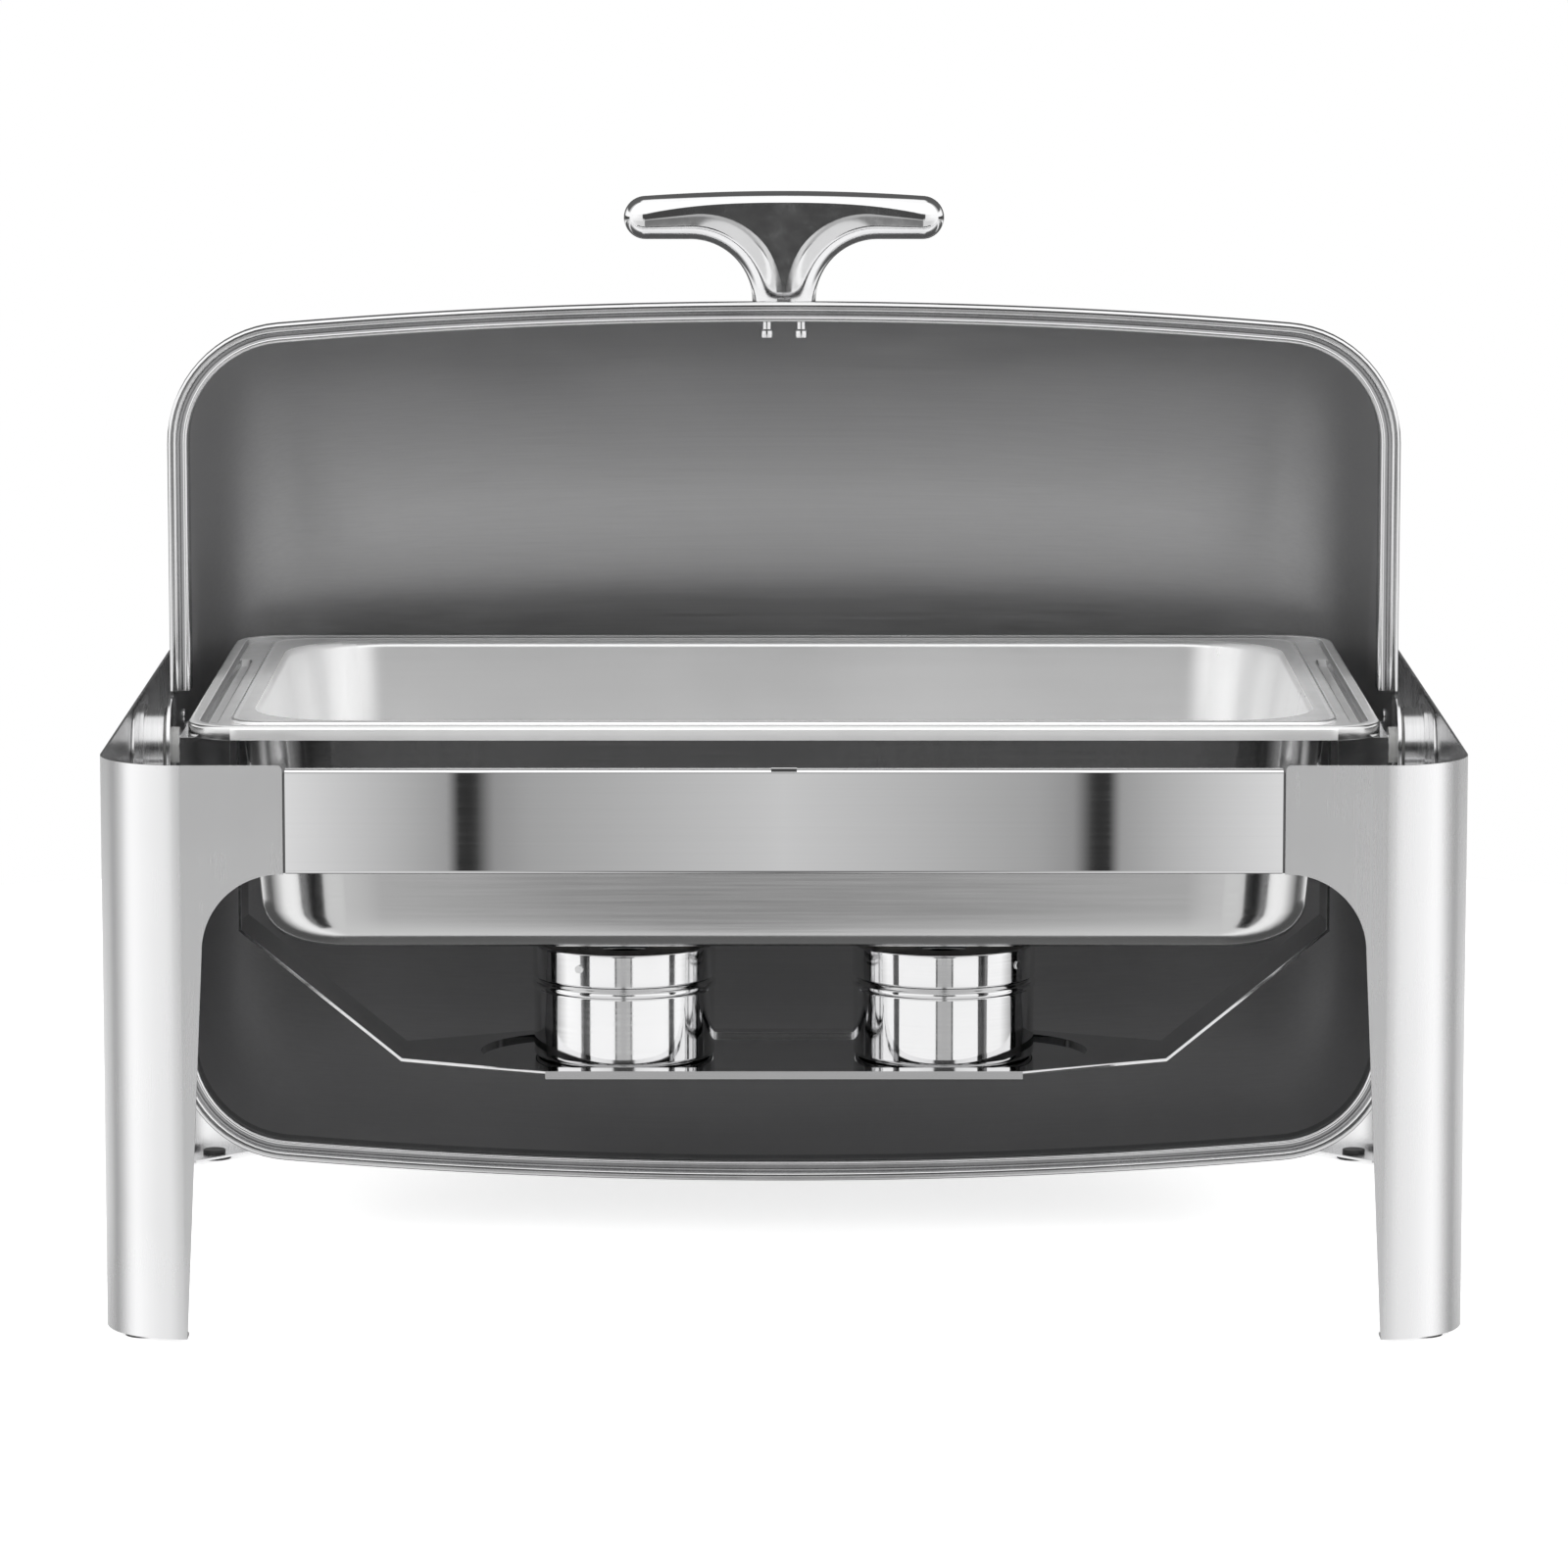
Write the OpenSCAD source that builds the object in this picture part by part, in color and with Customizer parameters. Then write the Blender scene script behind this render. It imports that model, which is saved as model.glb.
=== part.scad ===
// Roll top chafer: sheet stand, rolling half-round lid, water pan, food pan and two fuel holders.
// X runs across the front, Y runs back, Z is up. The origin is on the floor at the middle of the stand.
// The lid is drawn rolled fully open, with its mouth upright in the plane Y = 0.

/* [Stand] */
// Width over the two end frames
frame_w = 646; // [640:1:660]
// Depth over the two end frames
frame_d = 470; // [466:1:490]
// Height of the top edge of the end frames
frame_h = 275.5; // [275:0.5:277]
// Thickness of the stand's sheet
sheet_t = 1.2; // [1:0.1:1.5]
// Outer radius of the stand's upright corners
corner_r = 40; // [30:1:42]
// Half the distance between the seams where the skirts show
seam_x = 234.5; // [230:0.5:240]
// Height of the underside of the skirts and of the arches
skirt_bottom = 224; // [220:0.5:226]
// Height of the top edge of the skirts
skirt_top = 273.3; // [272:0.1:274]
// Radius of the arches' upper corners
arch_r = 37; // [30:1:40]
// Width of a leg face at the floor
leg_foot_w = 41.2; // [38:0.1:44]
// Width of a leg face just under the arch
leg_top_w = 50; // [48:0.5:54]

/* [Lid] */
// Height of the lid's pivot axis
pivot_z = 252.6; // [251:0.1:254]
// Width over the lid's rim
lid_w = 612; // [610:0.5:613]
// Length over the lid's rim, front to back when closed
lid_l = 442.6; // [438:0.1:446]
// Radius of the lid's corners
lid_corner_r = 60; // [55:1:65]
// Radius of the slow bow along the lid's long edges
lid_bow_r = 3000; // [2500:50:4000]
// Thickness of the lid's sheet
lid_t = 1; // [0.8:0.1:1.2]
// Width of the rim band round the lid's mouth
rim_w = 10; // [9:0.5:11]
// Depth of the rim's inner lip
rim_lip = 15; // [12:0.5:17]
// How far behind the mouth the handle stands
handle_y = 38; // [37:0.5:42]
// Length of the handle's grip bar
handle_l = 160; // [140:1:170]

/* [Pans] */
// Width over the water pan's rim
water_w = 570; // [566:1:570]
// Depth over the water pan's rim
water_d = 354; // [352:1:360]
// Height of the water pan's rim
water_z = 286; // [285:0.1:286.5]
// Height of the underside of the water pan
water_floor = 172.5; // [170:0.5:176]
// Width over the food pan's rim, full gastronorm size
food_w = 530; // [529:0.5:531]
// Depth over the food pan's rim, full gastronorm size
food_d = 325; // [324:0.5:326]
// Depth of the food pan
food_depth = 65; // [60:1:70]

/* [Fuel] */
// Height of the floor that the fuel holders stand on
tray_z = 96; // [95:0.5:97]
// Distance of each fuel holder from the middle
holder_x = 80; // [70:1:90]
// Outer radius of a fuel holder's collar
collar_r = 45.8; // [44:0.1:46]
// Height of a fuel cup up to the collar's joint
cup_h = 41.2; // [38:0.1:43]
// Height of a collar
collar_h = 16.3; // [15:0.1:17]

/* [Hidden] */
$fn = 64;

bright_steel = [0.86, 0.86, 0.87];
brushed_steel = [0.72, 0.72, 0.73];
dark_steel = [0.55, 0.55, 0.56];
black_plastic = [0.08, 0.08, 0.08];
nylon = [0.9, 0.9, 0.86];

// Stand
half_w = frame_w / 2;
half_d = frame_d / 2;
glide_h = 1.6;
glide_r = 9;
foot_size = leg_foot_w - sheet_t;
foot_end = 10;
foot_at = [half_w - 19.2, half_d - 19.2];
stem_r = 4;
skirt_lap = 21;
hem = 5;
side_in = half_w - sheet_t;

// Pivot, from the stand's side inwards; every station is a distance from the middle
plate_t = 1.5;
plate_x = side_in - plate_t;
hub_r = 18.5;
hub_x = 308.5;
hub_flange_r = 20.5;
hub_flange_t = 2;
spigot_r = 7;
washer_t = 0.9;
hinge_x = 304.5;
hinge_t = 2;
bush_clear = 0.05;
bush_r = 9;
bush_in = 301.5;
cradle_x = 288;
cradle_t = 1.5;
key_flat = 5;
bolt_r = 4;
hub_screw_r = 3;
fit_gap = 0.1;
stop_r = 34;
stop_pin_r = 4;
tail_r = 2.5;
ear_w = 12;
ear_in = 28;
ear_l = 40;
ear_x = 309.5;
stop_pin_x = 306.9;
ear_angle = -135;
lid_travel = 90;
stop_gap = 0.05;
stop_offset = asin((ear_w / 2 + stop_pin_r + stop_gap) / stop_r);
stop_angles = [ear_angle - stop_offset, ear_angle + lid_travel + stop_offset];

// Lid
rim_t = 1.2;
bead_w = 4.5;
bead_h = 1.8;
shell_inset = 1.5;
shell_out = lid_w / 2 - shell_inset;
lid_corner_x = lid_w / 2 - lid_corner_r;
bow_z = lid_l / 2 - lid_bow_r;
lid_corner_z = bow_z + sqrt(pow(lid_bow_r - lid_corner_r, 2) - pow(lid_corner_x, 2));
bow_angle = atan2(lid_corner_x, lid_corner_z - bow_z);
rim_notch_r = 27;
hinge_r = 25;
hinge_l = 70;
hinge_h = 36;
hinge_rivet_at = [[42, -9], [42, 9], [62, 0]];

// Handle
grip_z = pivot_z + 260.5;
grip_r = 10.8;
stem_w = 31.6;
stem_t = 16;
flare_r = 31;
screw_pitch = 17.2;
screw_r = 2;
screw_head_r = 3.6;
screw_head_z = pivot_z + 200.3;
screw_head_h = 4.4;
sleeve_r = 2.6;
screw_bore_top = 490;

// Rims of the pans
shelf_z = water_z - 1.8;
shelf_edge = 6.5;

// Cradle
cradle_top = water_z - 6.8;
cradle_in = 264;
cradle_half_d = 165;
cradle_drop = 28.7;
cradle_boss_r = 17;

// Fuel tray
strap_x = 271.5;
strap_t = 1.5;
strap_w = 49;
strap_knee_z = 163;
tray_knee_x = 191;
tray_half_d = 60;
tray_wide_x = 118;
tray_step = 2;
pool_r = 50;
pool_x = 102;
tray_rivet_at = [277.5, 14];
tray_tab_x = 284;

// Fuel holder
cup_wall = 0.8;
cup_r = collar_r - 0.6;
neck_gap = 0.3;
collar_wall = 1.2;
collar_z = tray_z + cup_h;
neck_h = 4.8;
bead_z = collar_z - 4.2;
deck_z = collar_z + 12.3;
deck_t = 0.8;
deck_skirt = 7.5;
flame_r = 12;
damper_r = 14;
damper_t = 1;
damper_arm = 29;
damper_open = 55;
damper_shank_r = 2;
rivet_z = collar_z + 8.6;
side_rivet_angles = [-118, -38];

// ---------- Shared shapes ----------

module side(s) {
    mirror([s < 0 ? 1 : 0, 0, 0]) children();
}

module rod_x(r, x0, x1) {
    translate([x0, 0, 0]) rotate([0, 90, 0]) cylinder(r = r, h = x1 - x0);
}

// A flat shape drawn in Y and Z, given a thickness along X
module plate_x_from(x0, x1) {
    translate([x0, 0, 0]) rotate([90, 0, 90]) linear_extrude(x1 - x0) children();
}

// A flat shape drawn in X and Z, given a thickness along Y
module plate_y_from(y0, y1) {
    translate([0, y1, 0]) rotate([90, 0, 0]) linear_extrude(y1 - y0) children();
}

module stadium(length, height) {
    square([length - height, height], center = true);
    for (s = [-1, 1]) translate([s * (length - height) / 2, 0]) circle(r = height / 2);
}

function arc(cx, cy, r, a0, a1, n) =
    [for (i = [0:n]) let (a = a0 + (a1 - a0) * i / n) [cx + r * cos(a), cy + r * sin(a)]];

function rounded_ring(hx, hy, r, z, n) =
    [for (k = [0:3], i = [0:n])
        let (a = 90 * k + 90 * i / n,
             sx = (k == 0 || k == 3) ? 1 : -1,
             sy = (k < 2) ? 1 : -1)
        [sx * (hx - r) + r * cos(a), sy * (hy - r) + r * sin(a), z]];

// Closed skin through a list of rounded rectangles, each [half width, half depth, corner radius, height]
module ring_skin(rings, n = 7) {
    m = 4 * (n + 1);
    points = [for (q = rings) each rounded_ring(q[0], q[1], q[2], q[3], n)];
    last = len(rings) - 1;
    sides = [for (i = [0:last - 1], j = [0:m - 1])
        let (k = (j + 1) % m)
        [i * m + j, (i + 1) * m + j, (i + 1) * m + k, i * m + k]];
    first_cap = [[for (j = [0:m - 1]) j]];
    last_cap = [[for (j = [0:m - 1]) last * m + m - 1 - j]];
    polyhedron(points = points, faces = concat(sides, first_cap, last_cap), convexity = 4);
}

// Rings of a drawn wall from its flat floor up: a floor fillet, then a straight drafted wall
function wall_rings(floor_half, top_half, r0, r1, z0, z1, fillet, n = 5) = concat(
    [for (i = [0:n])
        let (a = 90 * i / n, inset = fillet * (1 - sin(a)))
        [floor_half[0] - inset, floor_half[1] - inset, max(r0 - inset, 6), z0 + fillet * (1 - cos(a))]],
    [[top_half[0], top_half[1], r1, z1]]);

function reversed(list) = [for (i = [len(list) - 1:-1:0]) list[i]];

// ---------- Stand ----------

module stand_outline(inset) {
    x = half_w - inset;
    y = half_d - inset;
    r = corner_r - inset;
    translate([0, -y]) square([x - r, 2 * y]);
    translate([0, r - y]) square([x, 2 * (y - r)]);
    for (s = [-1, 1]) translate([x - r, s * (y - r)]) circle(r = r);
}

// Arched opening between two legs whose outer faces stand half apart from the middle
module arch(half) {
    foot = half - leg_foot_w;
    top = half - leg_top_w;
    right = concat([[foot, -1]], arc(top - arch_r, skirt_bottom - arch_r, arch_r, 0, 90, 24));
    polygon(concat(right, [for (p = reversed(right)) [-p[0], p[1]]]));
}

module end_frame() {
    difference() {
        translate([0, 0, glide_h]) linear_extrude(frame_h - glide_h) difference() {
            stand_outline(0);
            stand_outline(sheet_t);
            translate([-1, -half_d - 1]) square([seam_x + 1, frame_d + 2]);
        }
        plate_y_from(-half_d - 1, half_d + 1) arch(half_w);
        plate_x_from(side_in - 1, half_w + 1) arch(half_d);
        translate([0, 0, pivot_z]) rod_x(hub_screw_r + fit_gap, side_in - 1, half_w + 1);
        at_stop_pins() rod_x(tail_r, side_in - 1, half_w + 1);
    }
    for (s = [-1, 1]) foot_plate(s);
}

// Plate turned in at the bottom of a leg, cut off across its inner corner
module foot_plate(s) {
    x = half_w - sheet_t;
    y = half_d - sheet_t;
    translate([0, 0, glide_h]) linear_extrude(sheet_t) difference() {
        intersection() {
            stand_outline(sheet_t);
            polygon([
                [x - foot_size, s * y], [x, s * y], [x, s * (y - foot_size)],
                [x - foot_end, s * (y - foot_size)], [x - foot_size, s * (y - foot_end)]
            ]);
        }
        translate([foot_at[0], s * foot_at[1]]) circle(r = stem_r);
    }
}

module end_frame_left() {
    color(brushed_steel) side(-1) end_frame();
}

module end_frame_right() {
    color(brushed_steel) side(1) end_frame();
}

// Band between the legs with turned-in hems, drawn for the front
module skirt() {
    y0 = -half_d + sheet_t;
    long = 2 * (seam_x + skirt_lap);
    translate([-long / 2, y0, skirt_bottom]) cube([long, sheet_t, skirt_top - skirt_bottom]);
    for (z = [skirt_bottom, skirt_top - sheet_t])
        translate([-seam_x, y0 + sheet_t, z]) cube([2 * seam_x, hem, sheet_t]);
}

module front_skirt() {
    color(bright_steel) {
        skirt();
        translate([-6, -half_d + sheet_t, skirt_top]) cube([12, sheet_t, 0.9]);
    }
}

module rear_skirt() {
    color(bright_steel) mirror([0, 1, 0]) skirt();
}

module foot_glides() {
    color(black_plastic) for (sx = [-1, 1], sy = [-1, 1])
        translate([sx * foot_at[0], sy * foot_at[1], 0]) {
            cylinder(r = glide_r, h = glide_h);
            cylinder(r = stem_r, h = glide_h + sheet_t);
            translate([0, 0, glide_h + sheet_t]) cylinder(r = stem_r + 2, h = 2);
        }
}

// ---------- Pivots ----------

module at_stop_pins() {
    for (a = stop_angles)
        translate([0, stop_r * cos(a), pivot_z + stop_r * sin(a)]) children();
}

module pivot_plate() {
    difference() {
        plate_x_from(plate_x, side_in) translate([0, pivot_z]) stadium(96, 43);
        translate([0, 0, pivot_z]) rod_x(hub_screw_r + fit_gap, plate_x - 1, side_in + 1);
        at_stop_pins() rod_x(tail_r, plate_x - 1, side_in + 1);
    }
}

module pivot_plate_left() {
    color(dark_steel) side(-1) pivot_plate();
}

module pivot_plate_right() {
    color(dark_steel) side(1) pivot_plate();
}

// Fixed drum with the round spigot that the lid turns on and a flatted tip that keys the cradle
module pivot_hub() {
    translate([0, 0, pivot_z]) difference() {
        union() {
            rod_x(hub_r, hub_x, plate_x);
            rod_x(hub_flange_r, plate_x - hub_flange_t, plate_x);
            rod_x(spigot_r, cradle_x, hub_x);
            intersection() {
                rod_x(spigot_r, cradle_x - cradle_t, cradle_x);
                translate([cradle_x - cradle_t, -spigot_r, -spigot_r])
                    cube([cradle_t, 2 * spigot_r, spigot_r + key_flat]);
            }
        }
        rod_x(bolt_r, cradle_x - cradle_t - 1, cradle_x + 16);
        rod_x(hub_screw_r, hub_x + 1, plate_x + 1);
    }
}

module pivot_hub_left() {
    color(brushed_steel) side(-1) pivot_hub();
}

module pivot_hub_right() {
    color(brushed_steel) side(1) pivot_hub();
}

module hub_screws() {
    color(bright_steel) for (s = [-1, 1]) side(s) translate([0, 0, pivot_z]) {
        rod_x(hub_screw_r, hub_x + 2, half_w);
        difference() {
            rod_x(6.5, half_w, half_w + 3);
            translate([half_w + 1.4, 0, 0]) rotate([0, 90, 0]) cylinder(r = 2.3, h = 2, $fn = 6);
        }
    }
}

module thrust_washers() {
    color(nylon) for (s = [-1, 1]) side(s) translate([0, 0, pivot_z]) difference() {
        rod_x(15, hub_x - washer_t, hub_x);
        rod_x(spigot_r, hub_x - washer_t - 1, hub_x + 1);
    }
}

module lid_stop_pins() {
    color(bright_steel) for (s = [-1, 1]) side(s) at_stop_pins() {
        rod_x(stop_pin_r, stop_pin_x, plate_x);
        rod_x(tail_r, plate_x, half_w);
        rod_x(tail_r + 1.5, half_w, half_w + 1);
    }
}

// ---------- Cradle and fuel tray ----------

// Pan support at one end: top flange, outer web with the keyed hole, inner lip and two end flanges
module cradle() {
    web_bottom = cradle_top - cradle_drop;
    difference() {
        union() {
            translate([cradle_in, -cradle_half_d, cradle_top - cradle_t])
                cube([cradle_x - cradle_in, 2 * cradle_half_d, cradle_t]);
            translate([cradle_x - cradle_t, -cradle_half_d, web_bottom])
                cube([cradle_t, 2 * cradle_half_d, cradle_drop]);
            for (s = [-1, 1])
                translate([cradle_in, s > 0 ? cradle_half_d - cradle_t : -cradle_half_d, web_bottom])
                    cube([cradle_x - cradle_in, cradle_t, cradle_drop]);
            plate_x_from(cradle_x - cradle_t, cradle_x) translate([0, pivot_z]) circle(r = cradle_boss_r);
        }
        translate([0, 0, pivot_z]) intersection() {
            rod_x(spigot_r, cradle_x - cradle_t - 1, cradle_x + 1);
            translate([cradle_x - cradle_t - 2, -spigot_r - 1, -spigot_r - 1])
                cube([cradle_t + 4, 2 * spigot_r + 2, spigot_r + 1 + key_flat]);
        }
        for (s = [-1, 1]) translate([tray_rivet_at[0], s * tray_rivet_at[1], cradle_top - 5])
            cylinder(r = 2, h = 10);
    }
}

module cradle_left() {
    color(brushed_steel) side(-1) cradle();
}

module cradle_right() {
    color(brushed_steel) side(1) cradle();
}

module cradle_bolts() {
    x0 = cradle_x - cradle_t - 1.2;
    color(bright_steel) for (s = [-1, 1]) side(s) translate([0, 0, pivot_z]) {
        rod_x(bolt_r, x0, cradle_x + 15);
        translate([x0 - 4, 0, 0]) rotate([0, 90, 0]) cylinder(r = 7.2, h = 4, $fn = 6);
    }
}

module cradle_washers() {
    color(bright_steel) for (s = [-1, 1]) side(s) translate([0, 0, pivot_z]) difference() {
        rod_x(9, cradle_x - cradle_t - 1.2, cradle_x - cradle_t);
        rod_x(bolt_r, cradle_x - cradle_t - 2, cradle_x);
    }
}

module tray_outline() {
    polygon([
        [-tray_knee_x, -strap_w / 2], [-tray_wide_x, -tray_half_d],
        [tray_wide_x, -tray_half_d], [tray_knee_x, -strap_w / 2],
        [tray_knee_x, strap_w / 2], [tray_wide_x, tray_half_d],
        [-tray_wide_x, tray_half_d], [-tray_knee_x, strap_w / 2]
    ]);
}

// One side of the hanging strap in X and Z: slope up from the tray, then straight up to a turned-out tab
module strap_section() {
    top = cradle_top - cradle_t;
    plate = tray_z + tray_step;
    slope = atan2(strap_knee_z - plate, strap_x - tray_knee_x);
    dx = strap_t * tan(slope / 2);
    dz = strap_t * tan((90 - slope) / 2);
    polygon([
        [tray_knee_x, plate - strap_t], [strap_x, strap_knee_z - dz],
        [strap_x, top - strap_t], [tray_tab_x, top - strap_t], [tray_tab_x, top],
        [strap_x - strap_t, top], [strap_x - strap_t, strap_knee_z],
        [tray_knee_x - dx, plate]
    ]);
}

module fuel_tray() {
    plate = tray_z + tray_step;
    color(dark_steel) {
        translate([0, 0, plate - strap_t]) linear_extrude(strap_t) difference() {
            tray_outline();
            stadium(2 * (pool_x + pool_r), 2 * pool_r);
        }
        translate([0, 0, tray_z - strap_t]) linear_extrude(strap_t)
            stadium(2 * (pool_x + pool_r), 2 * pool_r);
        translate([0, 0, tray_z - strap_t]) linear_extrude(tray_step + strap_t) difference() {
            stadium(2 * (pool_x + pool_r + strap_t), 2 * (pool_r + strap_t));
            stadium(2 * (pool_x + pool_r), 2 * pool_r);
        }
        for (s = [-1, 1]) translate([-tray_wide_x, s > 0 ? tray_half_d - strap_t : -tray_half_d, plate - 4])
            cube([2 * tray_wide_x, strap_t, 4]);
        difference() {
            for (s = [-1, 1]) side(s) plate_y_from(-strap_w / 2, strap_w / 2) strap_section();
            for (sx = [-1, 1], sy = [-1, 1])
                translate([sx * tray_rivet_at[0], sy * tray_rivet_at[1], cradle_top - 8])
                    cylinder(r = 2, h = 10);
        }
    }
}

module tray_rivets() {
    color(bright_steel) for (sx = [-1, 1], sy = [-1, 1])
        translate([sx * tray_rivet_at[0], sy * tray_rivet_at[1], 0]) {
            translate([0, 0, cradle_top - 4]) cylinder(r = 2, h = 5);
            translate([0, 0, cradle_top]) cylinder(r = 3.6, h = 1.2);
            translate([0, 0, cradle_top - 4.2]) cylinder(r = 3.2, h = 1.2);
        }
}

// ---------- Lid ----------

// Upper right quarter of the lid's mouth, drawn in by inset, from the middle of the bow to the side
function mouth_quarter(inset) = concat(
    arc(0, bow_z, lid_bow_r - inset, 90, 90 - bow_angle, 6),
    [for (i = [1:10])
        let (a = 90 - bow_angle - (90 - bow_angle) * i / 10)
        [lid_corner_x + (lid_corner_r - inset) * cos(a), lid_corner_z + (lid_corner_r - inset) * sin(a)]]);

// Upper half of the mouth, from the left side over the top to the right side
function mouth_half(inset) = concat(
    [for (p = reversed(mouth_quarter(inset))) if (p[0] > 0.001) [-p[0], p[1]]],
    mouth_quarter(inset));

module mouth(inset) {
    half = mouth_half(inset);
    polygon(concat(half, [for (p = reversed(half)) [p[0], -p[1]]]));
}

// Body of revolution about the pivot axis, turned through the half circle behind the mouth
module lid_revolve(inset) {
    half = mouth_half(inset);
    x = lid_w / 2 - inset;
    rotate([0, 90, 0]) rotate_extrude(angle = 180, $fn = 128)
            polygon(concat([[0, -x]], [for (p = half) [p[1], p[0]]], [[0, x]]));
}

module lid_shell() {
    color(bright_steel) difference() {
        translate([0, 0, pivot_z]) difference() {
            lid_revolve(shell_inset);
            lid_revolve(shell_inset + lid_t);
            for (s = [-1, 1]) side(s) {
                rod_x(bush_r, shell_out - 5, shell_out + 5);
                for (p = hinge_rivet_at) translate([0, p[0], p[1]]) rod_x(2, shell_out - 5, shell_out + 5);
            }
        }
        for (s = [-1, 1]) translate([s * screw_pitch / 2, handle_y, pivot_z + 200])
            cylinder(r = screw_r, h = 40);
    }
}

module lid_rim() {
    color(brushed_steel) difference() {
        union() {
            mouth_band(0, rim_w, -rim_t, 0);
            mouth_band(0, bead_w, -rim_t - bead_h, -rim_t);
            mouth_band(0, shell_inset, 0, 5);
            mouth_band(rim_w - 1, rim_w, 0, rim_lip);
        }
        translate([0, 0, pivot_z]) rod_x(rim_notch_r, -half_w, half_w);
    }
}

module mouth_band(inset_out, inset_in, y0, y1) {
    translate([0, 0, pivot_z]) plate_y_from(y0, y1) difference() {
        mouth(inset_out);
        mouth(inset_in);
    }
}

// Plate round the lid's bush; the end of its ear is raised to meet the stop pins
module hinge_plate() {
    translate([0, 0, pivot_z]) plate_x_from(hinge_x + hinge_t, ear_x)
        rotate(ear_angle) translate([ear_in, -ear_w / 2]) square([ear_l - ear_in, ear_w]);
    translate([0, 0, pivot_z]) difference() {
        plate_x_from(hinge_x, hinge_x + hinge_t) {
            circle(r = hinge_r);
            translate([0, -hinge_h / 2]) square([hinge_l - hinge_h / 2, hinge_h]);
            translate([hinge_l - hinge_h / 2, 0]) circle(r = hinge_h / 2);
            rotate(ear_angle) translate([0, -ear_w / 2]) square([ear_l, ear_w]);
        }
        rod_x(bush_r, hinge_x - 1, hinge_x + hinge_t + 1);
        for (p = hinge_rivet_at) translate([0, p[0], p[1]]) rod_x(2, hinge_x - 1, hinge_x + hinge_t + 1);
    }
}

module hinge_plate_left() {
    color(brushed_steel) side(-1) hinge_plate();
}

module hinge_plate_right() {
    color(brushed_steel) side(1) hinge_plate();
}

module hinge_rivets() {
    color(bright_steel) for (s = [-1, 1], p = hinge_rivet_at) side(s) translate([0, p[0], pivot_z + p[1]]) {
        rod_x(2, hinge_x - lid_t, hinge_x + hinge_t);
        rod_x(3.6, hinge_x - lid_t - 1.2, hinge_x - lid_t);
        rod_x(3.6, hinge_x + hinge_t, hinge_x + hinge_t + 0.8);
    }
}

module pivot_bush() {
    out = hinge_x + hinge_t;
    translate([0, 0, pivot_z]) difference() {
        union() {
            rod_x(bush_r, bush_in, out);
            rod_x(bush_r + 3, out, out + 0.8);
        }
        rod_x(spigot_r + bush_clear, bush_in - 1, out + 3);
    }
}

module pivot_bush_left() {
    color(nylon) side(-1) pivot_bush();
}

module pivot_bush_right() {
    color(nylon) side(1) pivot_bush();
}

// Outline of the T handle in X and Z: crowned bar with round ends, flared into the stem
module handle_front() {
    end_x = handle_l / 2 - grip_r;
    under = grip_z - grip_r;
    foot = pivot_z + 200;
    right = concat(
        arc(0, grip_z + 13.2 - 1000, 1000, 90, 90 - asin(end_x / 1000), 6),
        arc(end_x, grip_z, grip_r, 80, -90, 10),
        arc(stem_w / 2 + flare_r, under - flare_r, flare_r, 90, 180, 12),
        [[stem_w / 2, foot]]);
    polygon(concat(right, [for (p = reversed(right)) if (p[0] > 0.001) [-p[0], p[1]]]));
}

module lid_handle() {
    color(bright_steel) difference() {
        intersection() {
            plate_y_from(handle_y - 20, handle_y + 20) handle_front();
            plate_x_from(-handle_l, handle_l) {
                translate([handle_y, grip_z + 2.5]) circle(r = grip_r);
                translate([handle_y - stem_t / 2, pivot_z + 200]) square([stem_t, 60]);
            }
        }
        translate([0, 0, pivot_z]) rod_x(lid_l / 2 - shell_inset, -40, 40);
        for (s = [-1, 1]) translate([s * screw_pitch / 2, handle_y, pivot_z + 200])
            cylinder(r = screw_r, h = screw_bore_top - pivot_z - 200);
    }
}

module handle_screws() {
    color(bright_steel) for (s = [-1, 1]) translate([s * screw_pitch / 2, handle_y, screw_head_z]) {
        cylinder(r = screw_head_r, h = screw_head_h);
        cylinder(r = screw_r, h = screw_bore_top - 1 - screw_head_z);
    }
}

module handle_sleeves() {
    z0 = screw_head_z + screw_head_h;
    z1 = pivot_z + 214.8;
    color(bright_steel) for (s = [-1, 1]) translate([s * screw_pitch / 2, handle_y, z0]) difference() {
        cylinder(r = sleeve_r, h = z1 - z0);
        translate([0, 0, -1]) cylinder(r = screw_r, h = z1 - z0 + 2);
    }
}

// ---------- Pans ----------

module water_pan() {
    t = 0.9;
    top = [261.5, 158.5];
    low = [254, 151];
    hx = water_w / 2;
    hy = water_d / 2;
    lip = cradle_top;
    outer = wall_rings(low, top, 44, 46, water_floor, water_z - 6, 22);
    inner = wall_rings([low[0] - t, low[1] - t], [top[0] - t, top[1] - t], 43, 45,
        water_floor + t, water_z - 5, 21);
    edge = [hx - shelf_edge, hy - shelf_edge];
    color(brushed_steel) ring_skin(concat(
        outer,
        [[top[0] + 2, top[1] + 2, 48, shelf_z - t],
         [edge[0], edge[1], 20.5, shelf_z - t],
         [edge[0] + 1, edge[1] + 1, 21.5, water_z - t],
         [hx - 1 - t, hy - 1 - t, 24, water_z - t],
         [hx - t, hy - t, 25, water_z - 1 - t],
         [hx - t, hy - t, 25, lip],
         [hx, hy, 26, lip],
         [hx, hy, 26, water_z - 1.6],
         [hx - 0.5, hy - 0.5, 25.5, water_z - 0.5],
         [hx - 1.6, hy - 1.6, 24.4, water_z],
         [edge[0] + 1, edge[1] + 1, 21.5, water_z],
         [edge[0], edge[1], 20.5, shelf_z],
         [top[0] + 1, top[1] + 1, 47, shelf_z]],
        reversed(inner)));
}

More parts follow.
